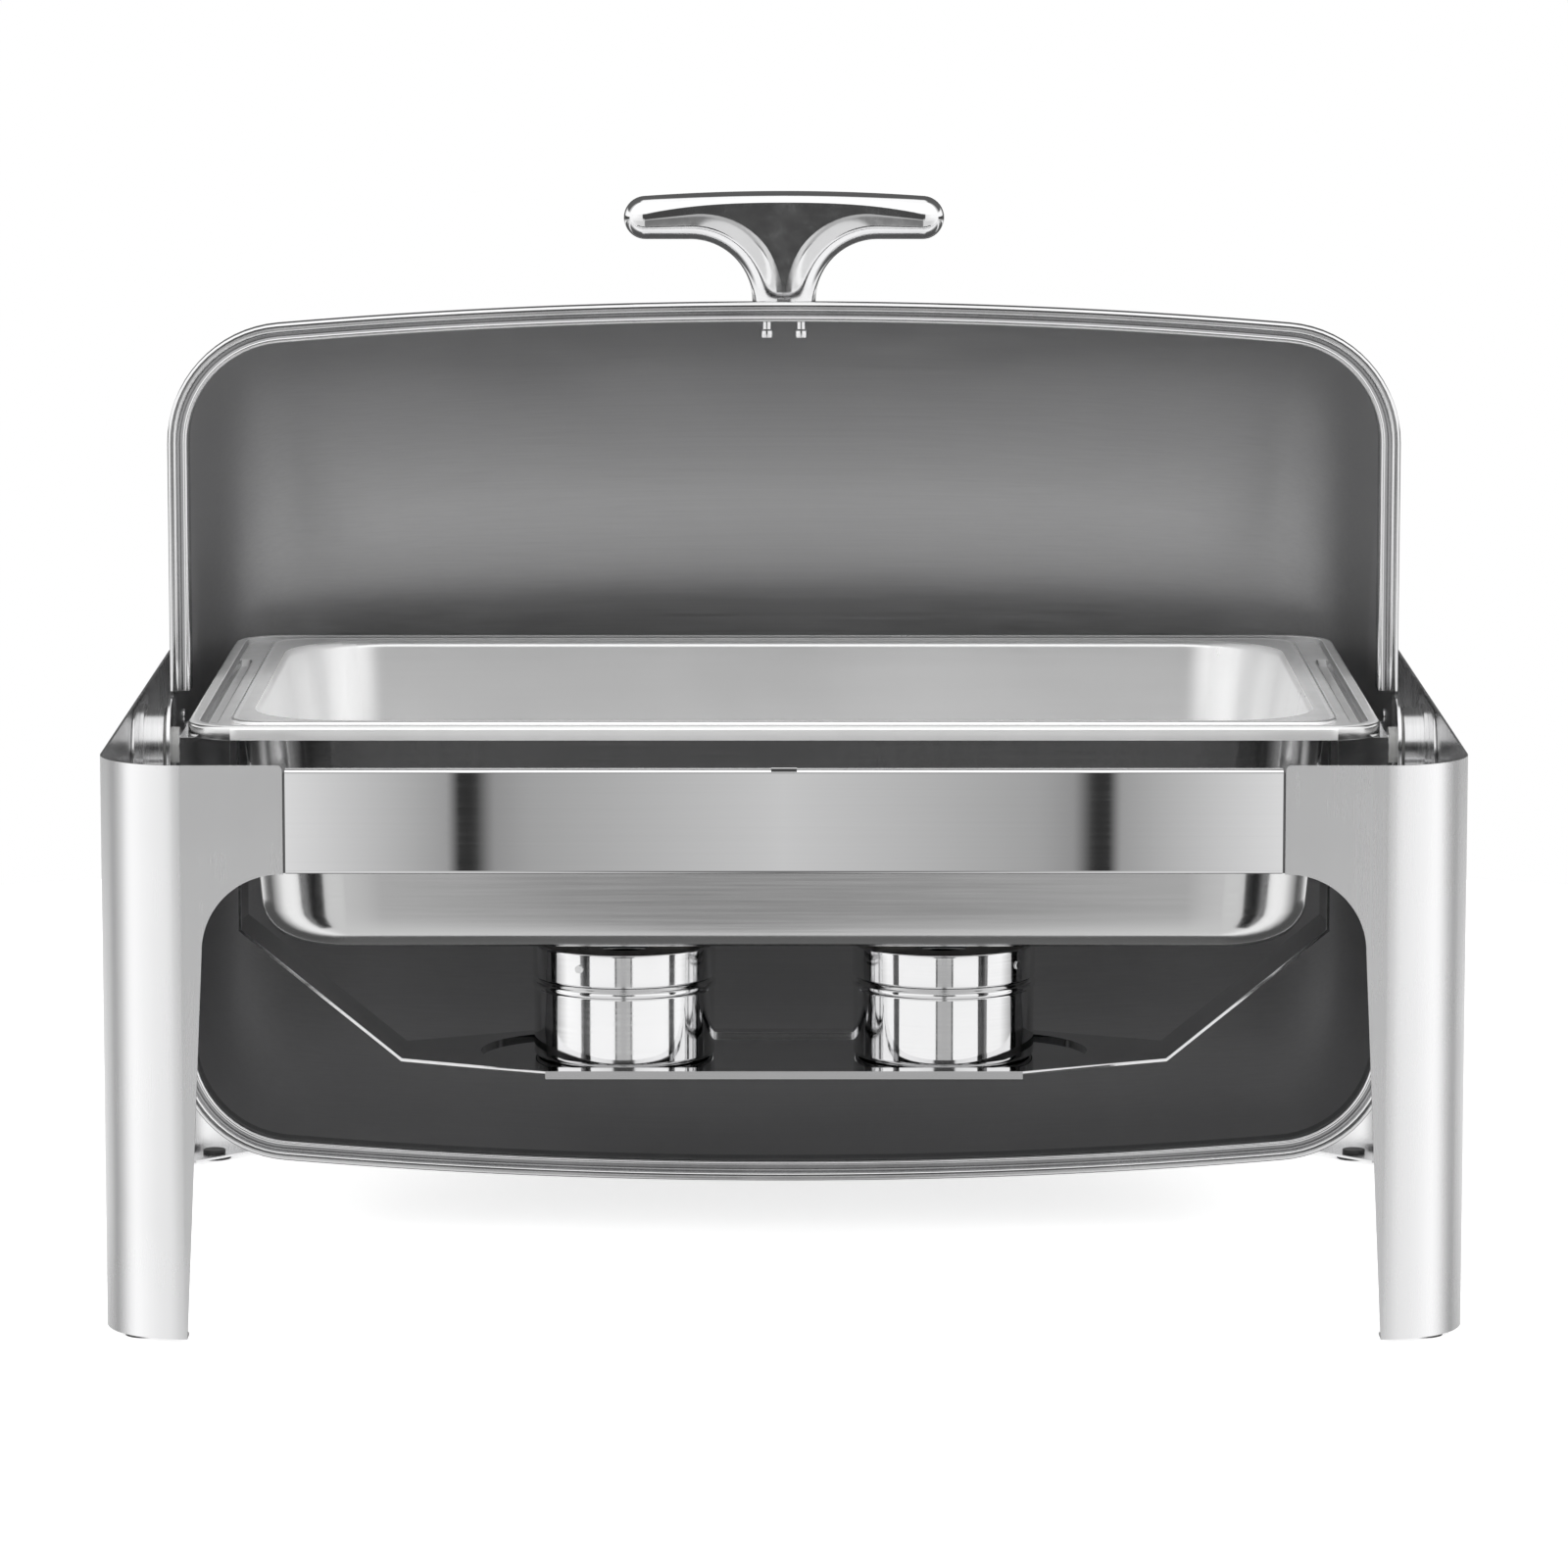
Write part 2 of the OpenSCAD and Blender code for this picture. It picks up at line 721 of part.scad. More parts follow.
module food_pan() {
    t = 0.8;
    rim = shelf_z + 2;
    top = [food_w / 2 - 10.5, food_d / 2 - 10.5];
    low = [top[0] - 6, top[1] - 6];
    hx = food_w / 2;
    hy = food_d / 2;
    outer = wall_rings(low, top, 44, 48, rim - food_depth, rim - 4.5, 18);
    inner = wall_rings([low[0] - t, low[1] - t], [top[0] - t, top[1] - t], 43, 47,
        rim - food_depth + t, rim - 3.4, 17);
    color(brushed_steel) ring_skin(concat(
        outer,
        [[top[0] + 0.9, top[1] + 0.9, 48, rim - 1.9],
         [top[0] + 2.6, top[1] + 2.6, 47, rim - t],
         [hx - 0.8 - t, hy - 0.8 - t, 18.4, rim - t],
         [hx - t, hy - t, 19.2, rim - 0.6 - t],
         [hx - t, hy - t, 19.2, shelf_z],
         [hx, hy, 20, shelf_z],
         [hx, hy, 20, rim - 0.8],
         [hx - 0.8, hy - 0.8, 19.2, rim],
         [top[0] + 2.2, top[1] + 2.2, 47, rim],
         [top[0] + 0.2, top[1] + 0.2, 47, rim - 0.7]],
        reversed(inner)));
}

// ---------- Fuel holders ----------

// Plain cup with a rolled bead and a stepped-in neck
module fuel_cup(s) {
    neck_r = collar_r - collar_wall - neck_gap;
    color(bright_steel) translate([s * holder_x, 0, 0]) rotate_extrude() {
        difference() {
            union() {
                translate([0, tray_z]) square([cup_r - 3, collar_z - tray_z]);
                translate([0, tray_z + 3]) square([cup_r, collar_z - tray_z - 3]);
                intersection() {
                    translate([cup_r - 3, tray_z + 3]) circle(r = 3);
                    square([cup_r, tray_z + 4]);
                }
                intersection() {
                    translate([cup_r - 1.2, bead_z]) circle(r = 2);
                    translate([0, tray_z]) square([cup_r + 2, cup_h]);
                }
                translate([0, collar_z - 1]) square([neck_r, neck_h + 1]);
            }
            translate([-1, tray_z + cup_wall]) square([neck_r - cup_wall + 1, cup_h + neck_h]);
        }
    }
}

module fuel_cup_left() {
    fuel_cup(-1);
}

module fuel_cup_right() {
    fuel_cup(1);
}

module at_side_rivets(s) {
    a = side_rivet_angles[s < 0 ? 0 : 1];
    for (turn = [0, 180]) translate([0, 0, rivet_z]) rotate([0, 0, a + turn]) children();
}

// Ring that slips over the cup's neck, with its top edge curled inwards
module fuel_collar(s) {
    color(bright_steel) translate([s * holder_x, 0, 0]) difference() {
        rotate_extrude() {
            translate([collar_r - collar_wall, collar_z]) square([collar_wall, collar_h - 1]);
            translate([collar_r - 1, collar_z + collar_h - 1]) circle(r = 1);
        }
        at_side_rivets(s) rod_x(1.1, collar_r - 3, collar_r + 3);
    }
}

module fuel_collar_left() {
    fuel_collar(-1);
}

module fuel_collar_right() {
    fuel_collar(1);
}

function damper_pivot(s) = [s * holder_x, damper_arm];

// Dished deck inside the collar with the flame hole in its middle
module flame_deck(s) {
    r = collar_r - collar_wall;
    color(dark_steel) translate([s * holder_x, 0, 0]) difference() {
        rotate_extrude() {
            translate([flame_r, deck_z]) square([r - flame_r, deck_t]);
            translate([r - deck_t, deck_z - deck_skirt + 1]) square([deck_t, deck_skirt - 1]);
        }
        translate([0, damper_arm, deck_z - 2]) cylinder(r = damper_shank_r, h = 4);
        at_side_rivets(s) rod_x(1.1, collar_r - 3, collar_r + 3);
    }
}

module flame_deck_left() {
    flame_deck(-1);
}

module flame_deck_right() {
    flame_deck(1);
}

module collar_rivets(s) {
    color(bright_steel) translate([s * holder_x, 0, 0]) at_side_rivets(s) {
        rod_x(1.1, collar_r - collar_wall - deck_t, collar_r);
        rod_x(2.1, collar_r, collar_r + 0.7);
    }
}

module collar_rivets_left() {
    collar_rivets(-1);
}

module collar_rivets_right() {
    collar_rivets(1);
}

// Round flap on an arm, swung clear of the flame hole; its finger tab stands up at the far edge
module damper(s) {
    p = damper_pivot(s);
    color(dark_steel) translate([p[0], p[1], deck_z + deck_t + 0.1]) rotate(-s * damper_open) {
        difference() {
            linear_extrude(damper_t) {
                translate([0, -damper_arm]) circle(r = damper_r);
                translate([-5, -damper_arm]) square([10, damper_arm]);
                circle(r = 5);
            }
            translate([0, 0, -1]) cylinder(r = damper_shank_r + 0.06, h = damper_t + 2);
        }
        translate([-4, -damper_arm - damper_r + 1.5, damper_t]) cube([8, 1, 2.2]);
    }
}

module damper_left() {
    damper(-1);
}

module damper_right() {
    damper(1);
}

module damper_rivet(s) {
    p = damper_pivot(s);
    top = deck_z + deck_t + 0.2 + damper_t;
    color(bright_steel) translate([p[0], p[1], 0]) {
        translate([0, 0, deck_z]) cylinder(r = damper_shank_r, h = top - deck_z);
        translate([0, 0, top]) cylinder(r = 3.6, h = 1);
        translate([0, 0, deck_z - 1]) cylinder(r = 3.2, h = 1);
    }
}

module damper_rivet_left() {
    damper_rivet(-1);
}

module damper_rivet_right() {
    damper_rivet(1);
}

end_frame_left();
end_frame_right();
front_skirt();
rear_skirt();
foot_glides();
pivot_plate_left();
pivot_plate_right();
pivot_hub_left();
pivot_hub_right();
hub_screws();
thrust_washers();
lid_stop_pins();
cradle_left();
cradle_right();
cradle_bolts();
cradle_washers();
fuel_tray();
tray_rivets();
lid_shell();
lid_rim();
hinge_plate_left();
hinge_plate_right();
hinge_rivets();
pivot_bush_left();
pivot_bush_right();
lid_handle();
handle_screws();
handle_sleeves();
water_pan();
food_pan();
fuel_cup_left();
fuel_cup_right();
fuel_collar_left();
fuel_collar_right();
flame_deck_left();
flame_deck_right();
collar_rivets_left();
collar_rivets_right();
damper_left();
damper_right();
damper_rivet_left();
damper_rivet_right();
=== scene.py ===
import math

import bmesh
import bpy
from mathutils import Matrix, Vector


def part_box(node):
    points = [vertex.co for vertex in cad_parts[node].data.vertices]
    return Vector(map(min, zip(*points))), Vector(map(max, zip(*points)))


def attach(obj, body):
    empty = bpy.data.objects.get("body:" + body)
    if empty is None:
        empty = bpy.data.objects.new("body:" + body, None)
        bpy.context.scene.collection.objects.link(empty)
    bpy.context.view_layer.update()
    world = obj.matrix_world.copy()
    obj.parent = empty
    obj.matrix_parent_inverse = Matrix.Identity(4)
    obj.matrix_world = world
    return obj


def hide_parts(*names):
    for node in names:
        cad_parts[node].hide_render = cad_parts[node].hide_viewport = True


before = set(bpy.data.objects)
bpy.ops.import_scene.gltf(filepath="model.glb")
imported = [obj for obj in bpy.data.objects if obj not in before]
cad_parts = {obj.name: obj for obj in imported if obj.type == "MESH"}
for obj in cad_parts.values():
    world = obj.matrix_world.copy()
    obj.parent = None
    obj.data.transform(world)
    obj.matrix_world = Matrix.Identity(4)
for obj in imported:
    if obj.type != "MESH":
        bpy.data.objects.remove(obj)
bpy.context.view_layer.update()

MM = 0.001
SIDES = (("left", -1), ("right", 1))


# ---------- Sizes from the frame, in millimetres ----------

def corners(node):
    low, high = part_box(node)
    return [c / MM for c in low], [c / MM for c in high]


FRAME_LOW, FRAME_HIGH = corners("end_frame_right")
HALF_W, HALF_D, FRAME_TOP = FRAME_HIGH
SEAM_X, FOOT_Z = FRAME_LOW[0], FRAME_LOW[2]
SKIRT_LOW, SKIRT_HIGH = corners("rear_skirt")
RIM_LOW, RIM_HIGH = corners("lid_rim")
PIVOT_Z = (RIM_LOW[2] + RIM_HIGH[2]) / 2
LID_X, LID_R = RIM_HIGH[0], RIM_HIGH[2] - PIVOT_Z
HANDLE_LOW, HANDLE_HIGH = corners("lid_handle")
WATER_LOW, WATER_HIGH = corners("water_pan")
FOOD_LOW, FOOD_HIGH = corners("food_pan")
CUP_LOW, CUP_HIGH = corners("fuel_cup_right")
COLLAR_LOW, COLLAR_HIGH = corners("fuel_collar_right")

SHEET = 1.2


# ---------- Mesh building ----------

def loft(sections, loop=False, caps=True):
    """Skin over closed sections of equal length."""
    k, n = len(sections[0]), len(sections)
    verts = [p for s in sections for p in s]
    faces = []
    for i in range(n if loop else n - 1):
        a, b = i * k, (i + 1) % n * k
        faces += [(a + j, b + j, b + (j + 1) % k, a + (j + 1) % k) for j in range(k)]
    if caps and not loop:
        faces += [tuple(range(k)), tuple((n - 1) * k + j for j in reversed(range(k)))]
    return verts, faces


def lathe(profile, centre=(0, 0), steps=96):
    """Closed outline of (radius, height) turned about an upright axis."""
    sections = []
    for i in range(steps):
        a = math.tau * i / steps
        sections.append([(centre[0] + r * math.cos(a), centre[1] + r * math.sin(a), z) for r, z in profile])
    return loft(sections, loop=True)


def joined(*parts):
    verts, faces = [], []
    for v, f in parts:
        base = len(verts)
        verts += v
        faces += [tuple(base + i for i in face) for face in f]
    return verts, faces


def arc(cx, cy, r, a0, a1, n):
    """Points on an arc, angles in degrees."""
    return [
        (cx + r * math.cos(math.radians(a0 + (a1 - a0) * i / n)),
         cy + r * math.sin(math.radians(a0 + (a1 - a0) * i / n)))
        for i in range(n + 1)
    ]


# A face with more corners than this is a flat cap, shaded apart from its surroundings
CAP_CORNERS = 40
# Edges that turn more than this many degrees stay sharp
SHARP = 35


def shade(obj, sharp, flat):
    """Smooth shading up to the sharp angle. Flat parts keep true normals beside their rounded edges."""
    mesh = obj.data
    mesh.validate()
    mesh.polygons.foreach_set("use_smooth", [True] * len(mesh.polygons))
    mesh.set_sharp_from_angle(angle=math.radians(sharp))
    for face in mesh.polygons:
        if face.loop_total > CAP_CORNERS:
            for loop in face.loop_indices:
                mesh.edges[mesh.loops[loop].edge_index].use_edge_sharp = True
    if flat:
        weighted = obj.modifiers.new("flat", "WEIGHTED_NORMAL")
        weighted.weight = 50
        weighted.keep_sharp = True
        baked(obj)


def baked(obj):
    """Applies the object's modifiers to its mesh."""
    graph = bpy.context.evaluated_depsgraph_get()
    mesh = bpy.data.meshes.new_from_object(obj.evaluated_get(graph))
    obj.modifiers.clear()
    obj.data = mesh


def add_bevel(obj, width):
    """Eases the edges that turn more than 40 degrees."""
    bevel = obj.modifiers.new("edges", "BEVEL")
    bevel.width = width * MM
    bevel.segments = 2
    bevel.limit_method = "ANGLE"
    bevel.angle_limit = math.radians(40)
    bevel.use_clamp_overlap = True
    bevel.miter_outer = "MITER_ARC"


def finished(obj, material, body, bevel, sharp, flat):
    """Links the object, eases its edges, shades it and rides it on its body."""
    bpy.context.scene.collection.objects.link(obj)
    if bevel:
        add_bevel(obj, bevel)
        baked(obj)
    shade(obj, sharp, flat)
    obj.data.materials.clear()
    obj.data.materials.append(material)
    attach(obj, body)


def piece(name, shape, material, body, replaced=(), bevel=0, sharp=SHARP, flat=False):
    """Makes one finished piece from (verts, faces) in millimetres."""
    verts, faces = shape
    mesh = bpy.data.meshes.new(name)
    mesh.from_pydata([tuple(c * MM for c in v) for v in verts], [], faces)
    bm = bmesh.new()
    bm.from_mesh(mesh)
    bmesh.ops.remove_doubles(bm, verts=bm.verts, dist=1e-6)
    bmesh.ops.dissolve_degenerate(bm, edges=bm.edges, dist=1e-7)
    bmesh.ops.recalc_face_normals(bm, faces=bm.faces)
    bm.to_mesh(mesh)
    bm.free()
    obj = bpy.data.objects.new(name, mesh)
    finished(obj, material, body, bevel, sharp, flat)
    if replaced:
        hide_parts(*replaced)
    return obj


def refined(node, material, body, bevel):
    """The node's own shape with its edges eased."""
    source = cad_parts[node]
    mesh = bpy.data.meshes.new_from_object(source)
    bm = bmesh.new()
    bm.from_mesh(mesh)
    bmesh.ops.remove_doubles(bm, verts=bm.verts, dist=2e-6)
    bmesh.ops.dissolve_limit(bm, angle_limit=math.radians(0.5), verts=bm.verts, edges=bm.edges)
    bm.to_mesh(mesh)
    bm.free()
    if mesh.attributes.get("custom_normal"):
        mesh.attributes.remove(mesh.attributes["custom_normal"])
    obj = bpy.data.objects.new(node + "_finish", mesh)
    finished(obj, material, body, bevel, SHARP, True)
    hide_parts(node)


# ---------- Materials ----------

def surface(name, colour, rough, metallic=1.0, grain=(30, 30, 30), grain_tone=0.06, grain_rough=0.06,
            smudge=9.0, smudge_tone=0.05, smudge_rough=0.05, bump=0.06, depth=0.00004):
    """Worn sheet or moulded surface: a fine directional grain over broad, soft handling marks."""
    material = bpy.data.materials.new(name)
    material.use_nodes = True
    nodes, links = material.node_tree.nodes, material.node_tree.links
    shader = nodes["Principled BSDF"]
    shader.inputs["Metallic"].default_value = metallic
    place = nodes.new("ShaderNodeTexCoord")
    stretch = nodes.new("ShaderNodeMapping")
    stretch.inputs["Scale"].default_value = grain
    links.new(place.outputs["Object"], stretch.inputs["Vector"])
    fine = nodes.new("ShaderNodeTexNoise")
    fine.inputs["Scale"].default_value = 1
    fine.inputs["Detail"].default_value = 4
    fine.inputs["Roughness"].default_value = 0.65
    links.new(stretch.outputs["Vector"], fine.inputs["Vector"])
    broad = nodes.new("ShaderNodeTexNoise")
    broad.inputs["Scale"].default_value = smudge
    broad.inputs["Detail"].default_value = 5
    broad.inputs["Distortion"].default_value = 0.6
    links.new(place.outputs["Object"], broad.inputs["Vector"])

    def ramp(source, low, high):
        node = nodes.new("ShaderNodeMapRange")
        node.inputs["From Min"].default_value = 0.3
        node.inputs["From Max"].default_value = 0.7
        node.inputs["To Min"].default_value = low
        node.inputs["To Max"].default_value = high
        links.new(source.outputs["Fac"], node.inputs["Value"])
        return node.outputs["Result"]

    def combine(operation, first, second):
        node = nodes.new("ShaderNodeMath")
        node.operation = operation
        links.new(first, node.inputs[0])
        links.new(second, node.inputs[1])
        return node.outputs["Value"]

    tone = combine("MULTIPLY", ramp(fine, 1 - grain_tone, 1 + grain_tone),
                   ramp(broad, 1 - smudge_tone, 1 + smudge_tone))
    tint = nodes.new("ShaderNodeVectorMath")
    tint.operation = "SCALE"
    tint.inputs[0].default_value = colour
    links.new(tone, tint.inputs["Scale"])
    links.new(tint.outputs["Vector"], shader.inputs["Base Color"])
    links.new(combine("ADD", ramp(fine, rough - grain_rough, rough + grain_rough),
                      ramp(broad, -smudge_rough, smudge_rough)), shader.inputs["Roughness"])
    relief = nodes.new("ShaderNodeBump")
    relief.inputs["Strength"].default_value = bump
    relief.inputs["Distance"].default_value = depth
    links.new(fine.outputs["Fac"], relief.inputs["Height"])
    links.new(relief.outputs["Normal"], shader.inputs["Normal"])
    return material


# Grain scale along each axis: low along the brushing
ALONG_X, ALONG_Z = (5, 700, 700), (700, 700, 5)
TURNED = (12, 12, 900)

# Dark copy of the frame steel for the stand's inward faces and laps: painted shade
frame_inside_painted_shade = surface("frame_inside_painted_shade", (0.24, 0.24, 0.242), 0.24, grain=ALONG_Z, grain_tone=0.12, bump=0.03)
frame_steel = surface("frame_steel", (0.88, 0.88, 0.885), 0.27, grain=ALONG_Z, grain_tone=0.008,
                      grain_rough=0.01, smudge_tone=0.015, smudge_rough=0.02, bump=0.002)
skirt_steel = surface("skirt_steel", (0.86, 0.86, 0.865), 0.010, grain=ALONG_X, grain_tone=0.012,
                      grain_rough=0.004, smudge_tone=0.01, smudge_rough=0.003, bump=0.001)
# Brushed inside of the lid: the roughness and grain are its finish, and the base colour, darker than the
# outside's, is painted shade
lid_inside_painted_shade = surface("lid_inside_painted_shade", (0.52, 0.52, 0.525), 0.42, metallic=0.9, grain=ALONG_X, grain_tone=0.05,
                     grain_rough=0.06, smudge=3.5, smudge_tone=0.05, bump=0.05)
lid_outside = surface("lid_outside", (0.80, 0.80, 0.805), 0.08, grain=ALONG_X, grain_tone=0.015,
                      grain_rough=0.02, smudge_tone=0.02, smudge_rough=0.02, bump=0.01)
rim_steel = surface("rim_steel", (0.76, 0.76, 0.765), 0.13, grain=(50, 50, 50), grain_tone=0.02,
                    grain_rough=0.02, smudge_rough=0.03, bump=0.004)
# Dark, rougher copy of the rim steel for the pressed groove: the dark colour is painted shade in the recess
groove_painted_shade = surface("groove_painted_shade", (0.34, 0.34, 0.345), 0.22, grain=(50, 50, 50), grain_tone=0.03,
                       grain_rough=0.03, bump=0.004)
cast_steel = surface("cast_steel", (0.82, 0.82, 0.825), 0.07, grain=(160, 160, 160), grain_tone=0.02,
                     grain_rough=0.03, smudge=18, smudge_rough=0.04, bump=0.03, depth=0.00006)
pan_inside = surface("pan_inside", (0.90, 0.90, 0.90), 0.32, metallic=0.95, grain=(8, 300, 300),
                     grain_tone=0.006, grain_rough=0.006, smudge=6, smudge_tone=0.015, smudge_rough=0.02,
                     bump=0.001)
# Whiter, partly matt copy of the pan steel for the inside end walls and corners: painted light
pan_end_painted_light = surface("pan_ends_painted_light", (0.95, 0.95, 0.95), 0.36, metallic=0.45, grain=(300, 300, 8),
                        grain_tone=0.006, bump=0.002)
# Water pan steel, darker than the food pan's: the lower colour is painted shade
pan_outside_painted_shade = surface("pan_outside_painted_shade", (0.70, 0.70, 0.70), 0.16, grain=(8, 600, 600), grain_tone=0.02,
                      grain_rough=0.03, smudge=6, smudge_tone=0.02, smudge_rough=0.02, bump=0.02)
# Flange steel: satin roughness, with a whiter, partly matt colour that is painted light on the upward faces
# and the turned down edge
pan_rim_painted_light = surface("pan_rim_painted_light", (0.95, 0.95, 0.95), 0.24, metallic=0.55, grain=(60, 60, 60),
                        grain_tone=0.012, grain_rough=0.02, smudge=6, smudge_tone=0.02, smudge_rough=0.02,
                        bump=0.003)
bracket_steel = surface("bracket_steel", (0.76, 0.76, 0.765), 0.20, grain=(70, 70, 70), grain_tone=0.03,
                        grain_rough=0.03, bump=0.01)
tray_steel = surface("tray_steel", (0.72, 0.72, 0.725), 0.07, grain=ALONG_X, grain_tone=0.04, bump=0.01)
hub_steel = surface("hub_steel", (0.66, 0.66, 0.665), 0.24, grain=(900, 14, 14), grain_tone=0.10, bump=0.08)
holder_steel = surface("holder_steel", (0.82, 0.82, 0.825), 0.07, grain=TURNED, grain_tone=0.02,
                       grain_rough=0.03, smudge=22, smudge_rough=0.03, bump=0.02)
deck_steel = surface("deck_steel", (0.30, 0.29, 0.28), 0.32, grain=(90, 90, 90), grain_tone=0.12,
                     smudge=26, smudge_tone=0.15, bump=0.05)
bright_steel = surface("bright_steel", (0.78, 0.78, 0.785), 0.14, grain=(200, 200, 200), grain_tone=0.04,
                       smudge=30, bump=0.03)
black_plastic = surface("black_plastic", (0.025, 0.025, 0.025), 0.45, metallic=0, grain=(450, 450, 450),
                        grain_tone=0.2, smudge=40, bump=0.15, depth=0.0001)
nylon = surface("nylon", (0.60, 0.60, 0.59), 0.42, metallic=0, grain=(300, 300, 300), grain_tone=0.04,
                smudge=60, bump=0.08, depth=0.00006)


# ---------- Stand ----------

CORNER_R = 40
LEG_FOOT, LEG_TOP = 41.2, 50
ARCH_R = 37
SEAM_R, SEAM_GAP = 2.6, 1.1
SKIRT_BOTTOM = SKIRT_LOW[2]


def arch_height(distance, half):
    """Height of the sheet's lower edge at a distance from the middle of a face of that half width."""
    top, foot = half - LEG_TOP, half - LEG_FOOT
    middle = top - ARCH_R
    if distance <= middle:
        return SKIRT_BOTTOM
    if distance <= top:
        return SKIRT_BOTTOM - ARCH_R + math.sqrt(max(ARCH_R ** 2 - (distance - middle) ** 2, 0))
    if distance < foot:
        return max(FOOT_Z, (SKIRT_BOTTOM - ARCH_R) * (foot - distance) / (foot - top))
    return FOOT_Z


def arch_stops(half):
    """Stations across one half of a face, close together where the arch turns."""
    top, foot = half - LEG_TOP, half - LEG_FOOT
    middle = top - ARCH_R
    turn = [middle + ARCH_R * math.sin(math.radians(a)) for a in range(0, 91, 3)]
    return turn + [top + (foot - top) * i / 8 for i in range(1, 9)]


def end_frame(s):
    """Sheet bent round one end of the stand, as columns of outer and inner points."""
    flat_x, flat_y = HALF_W - CORNER_R, HALF_D - CORNER_R
    seam = [SEAM_X + SEAM_R * (1 - math.cos(math.radians(a))) for a in range(0, 91, 15)]
    columns = []
    for x in seam + [v for v in arch_stops(HALF_W) if v > seam[-1] + 0.1] + [flat_x - 0.6]:
        columns.append(((x, -HALF_D), (0, -1), arch_height(x, HALF_W)))
    for i in range(21):
        a = math.radians(-90 + 90 * i / 20)
        normal = (math.cos(a), math.sin(a))
        columns.append(((flat_x + CORNER_R * normal[0], -flat_y + CORNER_R * normal[1]), normal, FOOT_Z))
    stops = arch_stops(HALF_D)
    for y in [-v for v in reversed(stops)] + [0] + stops:
        columns.append(((HALF_W, y), (1, 0), arch_height(abs(y), HALF_D)))
    front = [c for c in columns if c[0][1] < -HALF_D + CORNER_R + 0.01]
    for (x, y), normal, z in reversed(front):
        columns.append(((x, -y), (normal[0], -normal[1]), z))
    sections = []
    for (x, y), (nx, ny), z in columns:
        inner = (x - SHEET * nx, y - SHEET * ny)
        top = FRAME_TOP - SEAM_R + math.sqrt(SEAM_R ** 2 - max(seam[-1] - x, 0) ** 2)
        sections.append([(s * x, y, z), (s * x, y, top),
                         (s * inner[0], inner[1], top), (s * inner[0], inner[1], z)])
    return loft(sections)


def foot_plate(s, t):
    """Plate turned in at the bottom of one leg, with the corner rounded to the sheet."""
    x, y, r = HALF_W - SHEET, HALF_D - SHEET, CORNER_R - SHEET
    size = LEG_FOOT - SHEET
    outline = [(x - size, y - 10), (x - size, y)]
    outline += arc(x - r, y - r, r, 90, 0, 20)
    outline += [(x, y - size), (x - 10, y - size)]
    return loft([[(s * px, t * py, z) for px, py in outline] for z in (FOOT_Z, FOOT_Z + SHEET)])


def skirt(t):
    """Band with hems turned in along both edges, lapped behind the end frames."""
    y0 = HALF_D - SHEET
    low, high = SKIRT_BOTTOM, SKIRT_HIGH[2]
    hem, bend = 6.2, 1.6

    def profile(inset):
        r = bend - inset
        pts = [(y0 - hem, low + inset)]
        pts += arc(y0 - bend, low + bend, r, -90, 0, 6)
        pts += arc(y0 - bend, high - bend, r, 0, 90, 6)
        return pts + [(y0 - hem, high - inset)]

    ring = profile(0) + list(reversed(profile(0.9)))
    end = SEAM_X - SEAM_GAP
    stations = [-end + 2 * end * i / 12 for i in range(13)]
    band = loft([[(x, t * y, z) for y, z in ring] for x in stations])
    lap = ((y0 - 0.7, low + 0.4), (y0 - 0.7, high - 1.2), (y0 - 1.3, high - 1.2), (y0 - 1.3, low + 0.4))
    laps = []
    for s in (-1, 1):
        a, b = s * (end - 0.5), s * SKIRT_HIGH[0]
        laps.append(loft([[(x, t * y, z) for y, z in lap] for x in (a, b)]))
    return joined(band, *laps)


def paint_shade_inside(obj, material):
    """Painted shade: a dark copy of the steel on the faces that look toward the middle of the stand and on
    the bands' laps.
    """
    obj.data.materials.append(material)
    for face in obj.data.polygons:
        sheet_face = abs(face.normal.z) < 0.3
        inward = face.normal.x * face.center.x + face.normal.y * face.center.y < 0
        inward = inward and (face.center.y < 0 or abs(face.normal.x) > 0.97)
        lap = obj.name.endswith("_band") and abs(face.center.x) > (SEAM_X - SEAM_GAP) * MM
        if lap or sheet_face and inward:
            face.material_index = 1


for side, s in SIDES:
    sheet = joined(end_frame(s), foot_plate(s, 1), foot_plate(s, -1))
    paint_shade_inside(piece("end_frame_" + side + "_sheet", sheet, frame_steel, "stand",
                        ["end_frame_" + side], flat=True), frame_inside_painted_shade)

# Small tab that stands up behind the middle of the front band's upper edge
TAB_TOP, TAB_HALF = 274.2, 6
TAB_PROFILE = ((0.1, -2.2), (0.1, -0.3), (0.3, 0), (0.7, 0), (0.9, -0.3), (0.9, -2.2))
tab = loft([[(x, -HALF_D + SHEET + dy, TAB_TOP + dz) for dy, dz in TAB_PROFILE]
            for x in (-TAB_HALF, TAB_HALF)])
paint_shade_inside(piece("front_skirt_band", joined(skirt(-1), tab), skirt_steel, "stand",
                    ["front_skirt"], flat=True), frame_inside_painted_shade)
paint_shade_inside(piece("rear_skirt_band", skirt(1), skirt_steel, "stand",
                    ["rear_skirt"], flat=True), frame_inside_painted_shade)


# ---------- Lid ----------

LID_CORNER = 60
BOW_R = 3000
CORNER_X = LID_X - LID_CORNER
BOW_Z = LID_R - BOW_R
CORNER_Z = BOW_Z + math.sqrt((BOW_R - LID_CORNER) ** 2 - CORNER_X ** 2)
BOW_ANGLE = math.degrees(math.atan2(CORNER_X, CORNER_Z - BOW_Z))
NOTCH = 27


